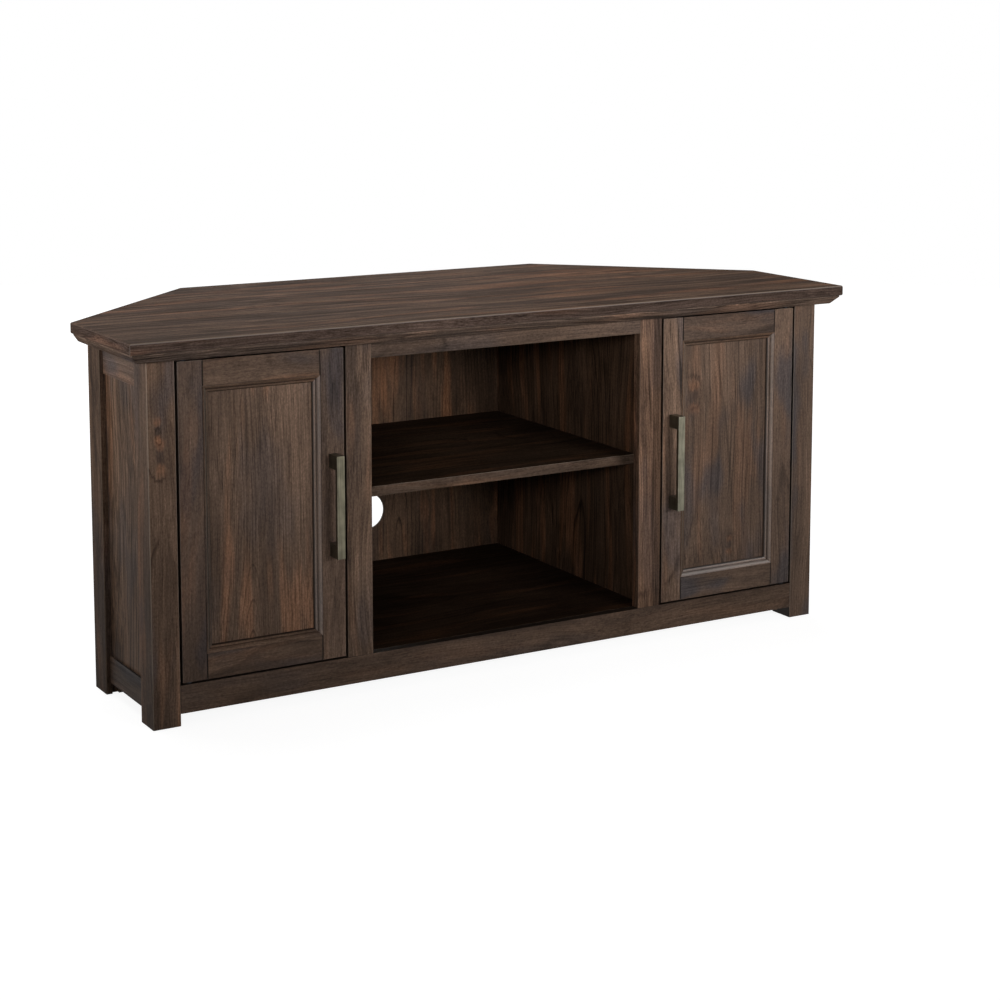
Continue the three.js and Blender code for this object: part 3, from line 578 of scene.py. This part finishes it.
BOARDS = {
    "top_board": ("xyz", dict(
        tone=0.815, lines=0.35, red=0.7, blue=0.0, fibre=1.0, fineness=1.5, bands=0.5, spacing=0.016,
        pith=0.07, level={"Fineness": 0.36, "Bands": 1.0}, wear_and_highlight=0.55, front_face_tone=0.86, end=1.15,
        end_strips=True, tint=(1.0, 0.94, 0.895), front_tint=(1.06, 1.19, 1.43), gloss=0.008,
        dullness=0.2,
    )),
    "moulding_front": ("xzy", dict(
        tone=1.1, blue=0.2, fibre=1.6, fineness=0.7, bands=1.0, pith=0.09, painted_shade_facing=(0, 0, -1),
        tint=(1.0, 1.05, 1.13), gloss=0.0, dullness=0.2,
    )),
    "moulding_left": ("yzx", MOULDING_END_PAINTED_LIGHT),
    "moulding_right": ("yzx", MOULDING_END_PAINTED_LIGHT),
    "leg_front_left": ("zxy", dict(
        tone=1.16, lines=0.55, blue=0.55, bands=1.1,
        knots=((0.16, -0.006, 0.012, 0.006), (0.124, -0.002, 0.018, 0.008)), pith=0.03, turn=0.012,
        wear_and_highlight=0.4, front_face_tone=1.34, painted_shade_facing=(1, 0, 0), gloss=0.02,
    )),
    "leg_front_right": ("zxy", dict(
        tone=1.17, lines=0.4, red=0.2, blue=1.0, fibre=0.55, bands=0.5, pith=0.08, painted_shade_facing=(-1, 0, 0),
        gloss=0.1,
    )),
    "leg_rear_left": ("zyx", LEG_REAR),
    "leg_rear_right": ("zyx", LEG_REAR),
    "corner_post_left": ("zxy", CORNER_POST),
    "corner_post_right": ("zxy", CORNER_POST),
    "side_rail_top_left": ("yzx", SIDE_RAIL_TOP),
    "side_rail_top_right": ("yzx", SIDE_RAIL_TOP),
    "side_rail_bottom_left": ("yzx", SIDE_RAIL_BOTTOM),
    "side_rail_bottom_right": ("yzx", SIDE_RAIL_BOTTOM),
    "side_panel_left": ("zyx", SIDE_PANEL | dict(turn=0.03)),
    "side_panel_right": ("zyx", SIDE_PANEL | dict(turn=0.02)),
}
print(len(BOARDS), "boards described")

# %% [markdown]
# Next come the boards round the open bay. Its inside gets little light and is darker and
# warmer than the face frame. The bottom board and the shelf carry low tones, which are painted
# shade of the bay, and the shelf's front face, which stands in the light, is lifted back near
# the frame's tone. The right centre stile has a darker strip on the side of the door. The back
# boards show tall arches in the middle.

# %% The front, the inside and the back
DIVIDER = dict(
    tone=0.65, lines=0.8, red=0.8, blue=0.15, fibre=0.9, fineness=0.7, bands=0.7, spacing=0.0085,
    pith=0.06, tint=(1.0, 0.9, 0.8), gloss=0.02,
)
SIDE_SHELF = dict(tone=0.75, lines=0.4, pith=0.08)
CORNER_BACK = dict(
    tone=0.95, red=0.4, fibre=0.8, spacing=0.006, slope=0.05, wander=0.04, heart=0.03, wear_and_highlight=0.0,
    gloss=0.02,
)
BOARDS |= {
    "front_rail_bottom": ("xzy", dict(
        tone=1.05, lines=0.35, red=0.15, blue=0.3, fibre=0.5, bands=0.7, pith=0.09, painted_shade_facing=(0, 0, 1),
    )),
    "front_rail_top": ("xzy", dict(tone=1.07, lines=0.45, red=0.6, blue=0.3)),
    "centre_stile_left": ("zxy", dict(
        tone=1.21, lines=0.45, blue=0.4, fibre=0.9, bands=1.2, pith=0.08, painted_shade_facing=(-1, 0, 0),
    )),
    "centre_stile_right": ("zxy", dict(
        tone=1.36, red=1.0, blue=0.3, fibre=1.0, bands=1.5, pith=0.06, turn=0.01, painted_shade_facing=(1, 0, 0),
        strip=(0.005, 0.52), tint=(1.1, 0.99, 0.92),
    )),
    "divider_left": ("zyx", DIVIDER),
    "divider_right": ("zyx", DIVIDER | dict(turn=0.05)),
    # The bottom board's and the shelf's low tones are painted shade of the bay.
    "bottom_board": ("xyz", dict(
        tone=0.33, lines=0.4, red=0.6, blue=0.1, fibre=0.5, bands=0.4, pith=0.08, tint=(1.0, 0.9, 0.8),
        gloss=0.0,
    )),
    "centre_shelf": ("xyz", dict(
        tone=0.48, lines=0.4, red=0.6, blue=0.1, fibre=0.5, bands=0.4, pith=0.08, front_face_tone=1.9,
        tint=(1.0, 0.93, 0.84), front_tint=(1.02, 1.15, 1.33), gloss=0.0,
    )),
    "side_shelf_left": ("xyz", SIDE_SHELF),
    "side_shelf_right": ("xyz", SIDE_SHELF),
    "back_panel_centre": ("zxy", dict(
        tone=1.06, lines=1.0, red=1.0, blue=0.25, fibre=0.5, spacing=0.006, slope=0.05, wander=0.05,
        heart=0.03, turn=-0.06, wear_and_highlight=0.1, tint=(1.0, 0.93, 0.84),
    )),
    "back_panel_left": ("zxy", CORNER_BACK),
    "back_panel_right": ("zxy", CORNER_BACK),
}
print(len(BOARDS), "boards described")

# %% [markdown]
# The doors are the best wood. The left panel has fine, tall arches, and the right one nearly
# straight grain, with two knots. Each stile and rail faces a narrow gap with its outer edge,
# which gets painted shade.

# %% The doors
BOARDS |= {
    "door_left_hinge_stile": ("zxy", dict(
        tone=1.02, lines=0.45, red=0.4, blue=0.6, fibre=0.4, bands=0.6, pith=0.07, wear_and_highlight=0.5, seam=0.9,
        painted_shade_facing=(-1, 0, 0), tint=(1.0, 1.03, 1.1),
    )),
    "door_left_lock_stile": ("zxy", dict(
        tone=1.2, lines=0.45, red=0.3, blue=0.7, pith=0.07, wear_and_highlight=0.5, seam=0.9, painted_shade_facing=(1, 0, 0),
        tint=(1.0, 1.02, 1.06),
    )),
    "door_left_bottom_rail": ("xzy", dict(
        tone=1.3, lines=0.4, red=0.35, fibre=0.45, bands=0.6, pith=0.06, wear_and_highlight=0.5, seam=0.9,
        painted_shade_facing=(0, 0, -1),
    )),
    "door_left_top_rail": ("xzy", dict(
        tone=1.16, lines=0.4, red=0.45, fibre=0.4, bands=0.5, pith=0.06, wear_and_highlight=0.15, seam=0.9,
        painted_shade_facing=(0, 0, 1),
    )),
    "door_left_panel": ("zxy", dict(
        tone=1.36, lines=0.6, red=0.7, blue=0.35, fibre=0.85, bands=0.45, spacing=0.0045, slope=0.07,
        wander=0.035, heart=0.028, turn=0.02,
    )),
    "door_right_hinge_stile": ("zxy", dict(
        tone=1.34, lines=0.45, red=0.25, blue=0.8, fibre=0.5, bands=0.6, pith=0.07, wear_and_highlight=0.5, seam=0.9,
        painted_shade_facing=(1, 0, 0), gloss=0.1,
    )),
    "door_right_lock_stile": ("zxy", dict(
        tone=1.68, red=0.4, fibre=0.8, pith=0.07, wear_and_highlight=0.5, seam=0.9, painted_shade_facing=(-1, 0, 0),
    )),
    "door_right_bottom_rail": ("xzy", dict(
        tone=1.15, lines=0.4, red=0.25, blue=0.9, fibre=0.45, bands=0.6, pith=0.06, wear_and_highlight=0.5, seam=0.9,
        painted_shade_facing=(0, 0, -1), gloss=0.1,
    )),
    "door_right_top_rail": ("xzy", dict(
        tone=0.94, lines=0.45, red=0.3, blue=0.8, fibre=0.4, bands=0.5, pith=0.06, wear_and_highlight=0.15, seam=0.9,
        painted_shade_facing=(0, 0, 1), tint=(1.0, 1.04, 1.11),
    )),
    "door_right_panel": ("zxy", dict(
        tone=1.19, lines=0.45, red=0.3, blue=0.75, fibre=0.85, bands=0.4,
        knots=((0.095, -0.06, 0.017, 0.011), (-0.15, 0.012, 0.01, 0.007)), wander=0.035, pith=0.12,
        turn=0.03, gloss=0.09,
    )),
}
print(len(BOARDS), "boards described")

# %% [markdown]
# Each board gets its finish. The stiles and rails of a door also need to know where the
# door's outline runs, to tell its joints from its outer edges.

# %% Dress the boards
def dress(piece, finish):
    piece.data.materials.clear()
    piece.data.materials.append(finish)


door_outlines = {}
for side in ("left", "right"):
    members = [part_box(f"door_{side}_{member}") for member in ("hinge_stile", "lock_stile")]
    door_outlines[side] = (
        [min(low[axis] for low, high in members) for axis in range(3)],
        [max(high[axis] for low, high in members) for axis in range(3)],
    )

for name, (order, look) in BOARDS.items():
    low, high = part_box(name)
    joints = {}
    if name.startswith("door") and name.endswith(("stile", "rail")):
        joints["outline"] = door_outlines[name.split("_")[1]]
        if name.endswith("rail"):
            joints["joint_ends"] = (high.x - low.x) / 2
    dress(nodes[name], board_finish(name, (low + high) / 2, order, **look, **joints))
print(len(BOARDS), "boards finished")

# %% [markdown]
# ## Brass, steel and nylon
#
# A metal's finish has fine scratches, which can be stretched one way as a brush leaves them,
# and slow patches of tarnish. Both blend its dull and its bright colour. Moulded nylon has a
# fine speckle.

# %% Metal and plastic finishes
BRUSHED = (900, 900, 25)  # how fine the scratches are along X, Y and Z, so these run upwards
PLATED = (300, 300, 300)


def brushed_metal(name, dull, bright, roughness, stretch):
    finish, tree, surface = new_finish(name)
    place = object_place(tree)
    sizes = {"Vector": place, "Scale": stretch}
    scratches = add_node(tree, "ShaderNodeMapping", sizes).outputs[0]
    scratches = noise(tree, scratches, detail=3.0, roughness=0.65)
    tarnish = noise(tree, stretched(tree, place, 60.0, 60.0), detail=3.0)
    share = maths(tree, "MULTIPLY_ADD", scratches, 0.6, maths(tree, "MULTIPLY", tarnish, 0.4))
    colour = mix_colour(tree, spread(tree, share, 0.35, 0.65), dull, bright)
    tree.links.new(colour, surface["Base Color"])
    surface["Metallic"].default_value = 1.0
    shine = spread(tree, scratches, 0.3, 0.7, roughness - 0.06, roughness + 0.08, soft=False)
    tree.links.new(shine, surface["Roughness"])
    add_bump(tree, surface, scratches, 0.2, 0.0001)
    return finish


def moulded_nylon():
    finish, tree, surface = new_finish("moulded nylon")
    surface["Specular IOR Level"].default_value = 0.12
    speckle = noise(tree, stretched(tree, object_place(tree), 1400.0, 1400.0))
    speckled = spread(tree, speckle, 0.3, 0.7)
    colour = mix_colour(tree, speckled, (0.016, 0.014, 0.012, 1), (0.030, 0.027, 0.024, 1))
    tree.links.new(colour, surface["Base Color"])
    tree.links.new(spread(tree, speckle, 0.3, 0.7, 0.5, 0.62), surface["Roughness"])
    add_bump(tree, surface, speckle, 0.15, 0.0001)
    return finish


print("metal and plastic makers ready")

# %% [markdown]
# The handles are flat brass bars with an aged, brushed coat: an olive grey with faint
# upright scratches. The two handles are lit and shaded copies of one brass: the right one is
# painted lighter, as painted light, and the left one darker, as painted shade. The screws and
# catch plates are zinc-plated steel, and the hinge pins blued steel, so that they don't glint
# in the gaps of the doors. The catches and hinge bushes are moulded nylon.

# %% Dress the handles and fittings
# The right handle's lighter brass is painted light, the left's darker brass painted shade.
BRASS_COLOURS_LIT_AND_SHADED = {  # the dull and the bright places on each handle
    "left": ((0.068, 0.062, 0.044, 1), (0.135, 0.123, 0.088, 1)),
    "right": ((0.090, 0.084, 0.062, 1), (0.180, 0.168, 0.126, 1)),
}
aged_brass = {
    side: brushed_metal(f"aged brass {side}", *colours, 0.38, BRUSHED)
    for side, colours in BRASS_COLOURS_LIT_AND_SHADED.items()
}
blued = brushed_metal("blued steel", (0.020, 0.020, 0.022, 1), (0.045, 0.045, 0.047, 1), 0.45, PLATED)
zinc = brushed_metal("zinc plate", (0.20, 0.20, 0.195, 1), (0.32, 0.32, 0.31, 1), 0.40, PLATED)
nylon = moulded_nylon()
for side in ("left", "right"):
    dress(nodes[f"handle_{side}"], aged_brass[side])
    dress(nodes[f"catch_{side}"], nylon)
    dress(nodes[f"catch_plate_{side}"], zinc)
    for level in ("lower", "upper"):
        dress(nodes[f"hinge_bush_{side}_{level}"], nylon)
        dress(nodes[f"hinge_pin_{side}_{level}"], blued)
        dress(nodes[f"handle_screw_{side}_{level}"], zinc)
print("metal and plastic finished")

# %% [markdown]
# ## The moulded bead round each door panel
#
# Between a door's frame and its sunk panel runs a small moulding: a rounded nose next to the
# frame, a narrow groove, and a second, flatter round that drops to the panel. On the real
# door it is four mitred strips.
#
# New pieces are modelled with Blender's own tools. Two helpers go with them: one leaves the
# last piece alone before the next is made, and one picks edges by where they are.

# %% Helpers for picking by place
def start_clean():
    if bpy.context.object and bpy.context.object.mode != "OBJECT":
        bpy.ops.object.mode_set(mode="OBJECT")
    bpy.ops.object.select_all(action="DESELECT")


def pick_edges(piece, chosen):
    bpy.ops.object.mode_set(mode="EDIT")
    bpy.ops.mesh.select_mode(type="EDGE")
    bpy.ops.mesh.select_all(action="DESELECT")
    bpy.ops.object.mode_set(mode="OBJECT")
    spots = piece.data.vertices
    for edge in piece.data.edges:
        edge.select = all(chosen(spots[number].co) for number in edge.vertices)
    picked = sum(edge.select for edge in piece.data.edges)
    bpy.ops.object.mode_set(mode="EDIT")
    return picked


print("picking helpers ready")

# %% [markdown]
# Insetting one face again and again, a little narrower and deeper each time, follows such a
# profile and makes the mitres by itself, so the whole bead starts as one plane. The middle is
# then deleted, the outer rim is pushed back to the panel, and the two rims are bridged, which
# leaves a closed ring.

# %% Model the bead of one door
BEAD_PROFILE = (  # metres inwards from the frame, and metres deep from the face
    (0.0000, 0.0000), (0.0008, 0.0000), (0.0018, 0.0002), (0.0028, 0.0007), (0.0037, 0.0015),
    (0.0044, 0.0026), (0.0049, 0.0038), (0.0052, 0.0050), (0.0055, 0.0051), (0.0059, 0.0045),
    (0.0066, 0.0041), (0.0075, 0.0040), (0.0083, 0.0042), (0.0090, 0.0047), (0.0096, 0.0056),
    (0.0101, 0.0069), (0.0104, 0.0087),
)
BEAD_DEPTH = BEAD_PROFILE[-1][1]
NEAR = 0.0001  # metres within which a point counts as being at a place
TOUCHING = 0.00001  # metres within which two points count as one


def model_bead(side):
    low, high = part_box(f"door_{side}_bead")
    middle = (low + high) / 2
    start_clean()
    bpy.ops.mesh.primitive_plane_add(
        size=1, location=(middle.x, low.y, middle.z), rotation=(math.pi / 2, 0, 0)
    )
    bead = bpy.context.object
    bead.name = f"door_{side}_bead_moulded"
    bead.scale = (high.x - low.x, high.z - low.z, 1)
    bpy.ops.object.transform_apply(location=True, rotation=True, scale=True)
    bpy.ops.object.mode_set(mode="EDIT")
    bpy.ops.mesh.select_mode(type="FACE")
    bpy.ops.mesh.select_all(action="SELECT")
    for (inwards, deep), (next_inwards, next_deep) in zip(BEAD_PROFILE, BEAD_PROFILE[1:]):
        bpy.ops.mesh.inset(thickness=next_inwards - inwards, depth=deep - next_deep)
    bpy.ops.mesh.delete(type="FACE")

    def on_outer_rim(spot):
        from_edge = min(spot.x - low.x, high.x - spot.x, spot.z - low.z, high.z - spot.z)
        return from_edge < NEAR and spot.y < low.y + NEAR

    outer = pick_edges(bead, on_outer_rim)
    bpy.ops.mesh.extrude_region_move(TRANSFORM_OT_translate={"value": (0, BEAD_DEPTH, 0)})
    rims = pick_edges(bead, lambda spot: spot.y > low.y + BEAD_DEPTH - NEAR)
    bpy.ops.mesh.bridge_edge_loops()
    bpy.ops.mesh.select_all(action="SELECT")
    bpy.ops.mesh.normals_make_consistent(inside=False)
    bpy.ops.object.mode_set(mode="OBJECT")
    bpy.ops.object.shade_smooth_by_angle(angle=math.radians(32))
    print(bead.name, "rim edges", outer, rims, "faces", len(bead.data.polygons))
    return bead


beads = {side: model_bead(side) for side in ("left", "right")}

# %% [markdown]
# The grain of each strip runs along it, so a bead wears four finishes, one for each strip. A
# face belongs to the strip whose outer edge is nearest. The strips carry painted light and
# shade: those that face the light are painted lighter and a little glossy, with a paler nose
# as a painted highlight, most on the right door's bottom strip, the others darker, and the
# groove gets painted shade.

# %% Dress the beads
BEAD_WOOD = dict(lines=0.2, red=0.2, blue=0.4, fibre=0.5, bands=0.5, groove=0.0006)
# Tones by strip are painted light and shade: the right and bottom strips lighter, the top and left
# darker.
BEAD_STRIPS_LIT_AND_SHADED = {
    "left": {
        "left": ("zxy", dict(tone=0.95, wear_and_highlight=0.25, gloss=0.04)),
        "right": ("zxy", dict(tone=1.65, wear_and_highlight=0.15, tint=(0.95, 1.0, 1.07), gloss=0.3, dullness=-0.12)),
        "bottom": ("xzy", dict(tone=1.3, wear_and_highlight=0.0, gloss=0.03)),
        "top": ("xzy", dict(wear_and_highlight=0.0, gloss=0.03)),
    },
    "right": {
        "left": ("zxy", dict(tone=1.1, wear_and_highlight=0.25, gloss=0.04)),
        "right": ("zxy", dict(tone=1.8, wear_and_highlight=0.2, tint=(0.95, 1.0, 1.07), gloss=0.3, dullness=-0.12)),
        "bottom": ("xzy", dict(tone=2.4, wear_and_highlight=0.6, tint=(0.92, 1.0, 1.12), gloss=0.6, dullness=-0.16)),
        "top": ("xzy", dict(tone=0.95, wear_and_highlight=0.0, gloss=0.03)),
    },
}
for side, bead in beads.items():
    low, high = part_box(f"door_{side}_bead")
    middle = (low + high) / 2
    for strip, (order, look) in BEAD_STRIPS_LIT_AND_SHADED[side].items():
        finish = board_finish(f"door_{side}_bead_{strip}", middle, order, **(BEAD_WOOD | look))
        bead.data.materials.append(finish)
    for face in bead.data.polygons:
        spot = face.center
        reaches = (spot.x - low.x, high.x - spot.x, spot.z - low.z, high.z - spot.z)
        face.material_index = reaches.index(min(reaches))
    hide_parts(f"door_{side}_bead")
    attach(bead, f"door_{side}")
print("beads dressed:", [round(v, 4) for v in beads["left"].dimensions])

# %% [markdown]
# ## Screws in the back boards
#
# The back of such a cabinet is three thin boards laid in behind the frame and held with small
# pan-head screws. One head is modelled: a low cylinder, its top edge rounded by a bevel, and
# a socket sunk in the middle. For the socket, the top is inset once for its rim, and then
# twice more, each time a little deeper.

# %% Model one screw head
HEAD_RADIUS = 0.0034
HEAD_HEIGHT = 0.0016
HEAD_ROUNDING = 0.0009
SOCKET_STEPS = ((0.0006, 0.0), (0.0007, -0.0005), (0.0005, -0.0004))  # inwards, and down


def model_screw():
    start_clean()
    bpy.ops.mesh.primitive_cylinder_add(
        vertices=24, radius=HEAD_RADIUS, depth=HEAD_HEIGHT, end_fill_type="NGON",
        location=(0, 0, HEAD_HEIGHT / 2),
    )
    screw = bpy.context.object
    bpy.ops.object.transform_apply(location=True, rotation=True, scale=True)
    picked = pick_edges(screw, lambda spot: spot.z > HEAD_HEIGHT - TOUCHING)
    bpy.ops.mesh.bevel(offset=HEAD_ROUNDING, segments=3, profile=0.6, affect="EDGES")
    bpy.ops.mesh.select_mode(type="FACE")
    bpy.ops.mesh.select_all(action="DESELECT")
    bpy.ops.object.mode_set(mode="OBJECT")
    top = max(screw.data.polygons, key=lambda face: (round(face.center.z, 6), face.area))
    top.select = True
    bpy.ops.object.mode_set(mode="EDIT")
    for inwards, down in SOCKET_STEPS:
        bpy.ops.mesh.inset(thickness=inwards, depth=down)
    bpy.ops.object.mode_set(mode="OBJECT")
    bpy.ops.object.shade_smooth_by_angle(angle=math.radians(35))
    print("screw head:", picked, "rim edges bevelled,", len(screw.data.polygons), "faces")
    return screw


pattern_screw = model_screw()

# %% [markdown]
# The heads sit in rows over the posts, the dividers, the bottom board and the shelf. Each one
# is a copy of the first with its own mesh, turned to face out of its board, and then its
# place is applied to the mesh.

# %% Set the screws in the back boards
POST_HEIGHTS = (0.0495, 0.165, 0.282, 0.395, 0.505)
DIVIDER_HEIGHTS = (0.105, 0.222, 0.340, 0.455)
LEVEL_HEIGHTS = (0.0495, 0.282)  # into the bottom board and the shelf
POST_ACROSS, DIVIDER_ACROSS, BAY_ACROSS = 0.306, 0.2585, 0.15  # from the cabinet's middle


def set_screw(name, place, outwards):
    start_clean()
    screw = pattern_screw.copy()
    screw.data = pattern_screw.data.copy()
    screw.name = name
    bpy.context.scene.collection.objects.link(screw)
    screw.location = place
    screw.rotation_euler = Vector(outwards).to_track_quat("Z", "Y").to_euler()
    screw.select_set(True)
    bpy.context.view_layer.objects.active = screw
    bpy.ops.object.transform_apply(location=True, rotation=True, scale=True)
    dress(screw, zinc)
    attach(screw, "cabinet")


back_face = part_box("back_panel_centre")[1].y
spots = [(across, height) for across in (-POST_ACROSS, POST_ACROSS) for height in POST_HEIGHTS]
spots += [(across, height) for across in (-DIVIDER_ACROSS, DIVIDER_ACROSS) for height in DIVIDER_HEIGHTS]
spots += [(across, height) for across in (-BAY_ACROSS, 0.0, BAY_ACROSS) for height in LEVEL_HEIGHTS]
for number, (across, height) in enumerate(spots):
    set_screw(f"back_screw_centre_{number}", (across, back_face, height), (0, 1, 0))
print(len(spots), "screws in the centre board")

# %% [markdown]
# The two corner boards stand at 45 degrees. The corner that lies furthest out gives a board's
# outer face, and the corners on that face give its two ends.

# %% Set the screws in the corner boards
FROM_END = 0.012  # metres between a corner board's inner end and its column of screws

for side, sign in (("left", -1), ("right", 1)):
    outwards = Vector((sign, 1, 0)).normalized()
    along = Vector((sign, -1, 0)).normalized()
    corners = [corner.co for corner in nodes[f"back_panel_{side}"].data.vertices]
    face = max(corner.dot(outwards) for corner in corners)
    on_face = [corner.dot(along) for corner in corners if corner.dot(outwards) > face - NEAR]
    near, far = min(on_face), max(on_face)
    spots = [(near + FROM_END, height) for height in POST_HEIGHTS]
    spots += [(near + share * (far - near), height) for share in (0.4, 0.75) for height in LEVEL_HEIGHTS]
    for number, (across, height) in enumerate(spots):
        place = outwards * face + along * across + Vector((0, 0, height))
        set_screw(f"back_screw_{side}_{number}", place, outwards)
    print(side, "corner board", round(far - near, 3), "m wide,", len(spots), "screws")
bpy.data.objects.remove(pattern_screw)

# %% [markdown]
# ## Soft arrises
#
# No edge of a real cabinet is perfectly sharp: the maker takes each one off with sandpaper,
# and the lacquer rounds it further. A bevel does that here. The CAD boards come as loose
# triangles, so a weld joins them first, or each triangle would get its own bevel.

# %% Round the edges of every board and fitting
ROUNDING = {"wood": 0.0006, "thin": 0.0003, "metal": 0.00035}


def soften(piece, width):
    weld = piece.modifiers.new("join triangles", "WELD")
    weld.merge_threshold = TOUCHING
    bevel = piece.modifiers.new("soft arris", "BEVEL")
    bevel.width = width
    bevel.segments = 2
    bevel.limit_method = "ANGLE"
    bevel.angle_limit = math.radians(35)
    bevel.harden_normals = True


for name, piece in nodes.items():
    if "bead" in name:
        continue
    kind = "wood" if name in BOARDS else "metal"
    if "back_panel" in name:
        kind = "thin"
    soften(piece, ROUNDING[kind])
print("arrises softened on", len(nodes) - len(beads), "pieces")

# %% [markdown]
# ## The studio
#
# A white floor runs away behind the cabinet, and the camera sees white all round. The floor
# still takes the cabinet's soft shadow. Light Path tells the material what kind of ray is
# asking: only rays from the camera, or seen in a glossy or clear surface, get the white.

# %% The floor
FLOOR_RADIUS = 4.6


def seen_directly(tree):
    rays = add_node(tree, "ShaderNodeLightPath").outputs
    seen = maths(tree, "MAXIMUM", rays["Is Camera Ray"], rays["Is Glossy Ray"])
    return maths(tree, "MAXIMUM", seen, rays["Is Transmission Ray"])


bpy.ops.object.select_all(action="DESELECT")
bpy.ops.mesh.primitive_circle_add(vertices=96, radius=FLOOR_RADIUS, fill_type="NGON", location=(0, 0, 0))
floor = bpy.context.object
floor.name = "studio_floor"

paper, paper_tree, paper_surface = new_finish("white paper")
paper_surface["Roughness"].default_value = 0.9
paper_surface["Specular IOR Level"].default_value = 0.0
paper_place = object_place(paper_tree)
paper_grain = noise(paper_tree, stretched(paper_tree, paper_place, 3.0, 3.0))
paper_colour = mix_colour(paper_tree, paper_grain, (0.30, 0.30, 0.30, 1), (0.31, 0.31, 0.31, 1))
paper_tree.links.new(paper_colour, paper_surface["Base Color"])
from_cabinet = vector_maths(paper_tree, "LENGTH", paper_place, output="Value")
brightness = spread(paper_tree, from_cabinet, 0.7, 2.4, 0.90, 1.0)
lift = maths(paper_tree, "MULTIPLY", seen_directly(paper_tree), brightness)
paper_surface["Emission Color"].default_value = (1, 1, 1, 1)
paper_tree.links.new(lift, paper_surface["Emission Strength"])
dress(floor, paper)
print("floor ready")

# %% [markdown]
# The world does the same: it is white where it is seen, and lights the cabinet only a little.

# %% The world
AMBIENT = 0.16  # strength of the world's light on the cabinet

world = bpy.data.worlds.new("studio")
bpy.context.scene.world = world
world.use_nodes = True
sky = world.node_tree
strength = spread(sky, seen_directly(sky), 0.0, 1.0, AMBIENT, 1.0, soft=False)
sky.links.new(strength, sky.nodes["Background"].inputs["Strength"])
sky.nodes["Background"].inputs["Color"].default_value = (1, 1, 1, 1)
print("world ready")

# %% [markdown]
# ## The lamps
#
# Six large soft lamps. Two light the front, from the right and from the left, and two light
# the ends. Their beams are narrow and aim above the cabinet, so its lower part gets less
# light, as on the real one. One hangs overhead for the top, and a weak one stands behind.

# %% Lamps
LAMPS = (  # name, place, aim, width, height, watts, and degrees that the beam is wide
    ("key", (0.9, -3.1, 1.05), (0.34, -0.2, 0.86), 1.4, 0.5, 7.6, 46),
    ("overhead", (-0.2, 0.8, 2.6), (0, 0.1, 0.5), 2.6, 1.6, 34, 180),
    ("left front", (-2.0, -2.5, 1.15), (-0.1, -0.2, 0.90), 1.4, 0.5, 4.6, 44),
    ("left", (-2.6, 0.3, 0.9), (-0.5, 0, 0.95), 1.2, 0.5, 4.2, 46),
    ("right", (2.6, 0.3, 0.9), (0.5, 0, 0.95), 1.2, 0.5, 3.0, 46),
    ("behind", (1.2, 3.4, 1.4), (0, 0, 0.3), 2.0, 1.6, 25, 180),
)
for name, place, aim, width, height, watts, beam in LAMPS:
    lamp_data = bpy.data.lights.new(name, "AREA")
    lamp_data.shape = "RECTANGLE"
    lamp_data.spread = math.radians(beam)
    lamp_data.size, lamp_data.size_y = width, height
    lamp_data.energy = watts
    lamp = bpy.data.objects.new(name, lamp_data)
    bpy.context.scene.collection.objects.link(lamp)
    lamp.location = place
    lamp.rotation_euler = (Vector(aim) - Vector(place)).to_track_quat("-Z", "Y").to_euler()
print(len(bpy.data.lights), "lamps")
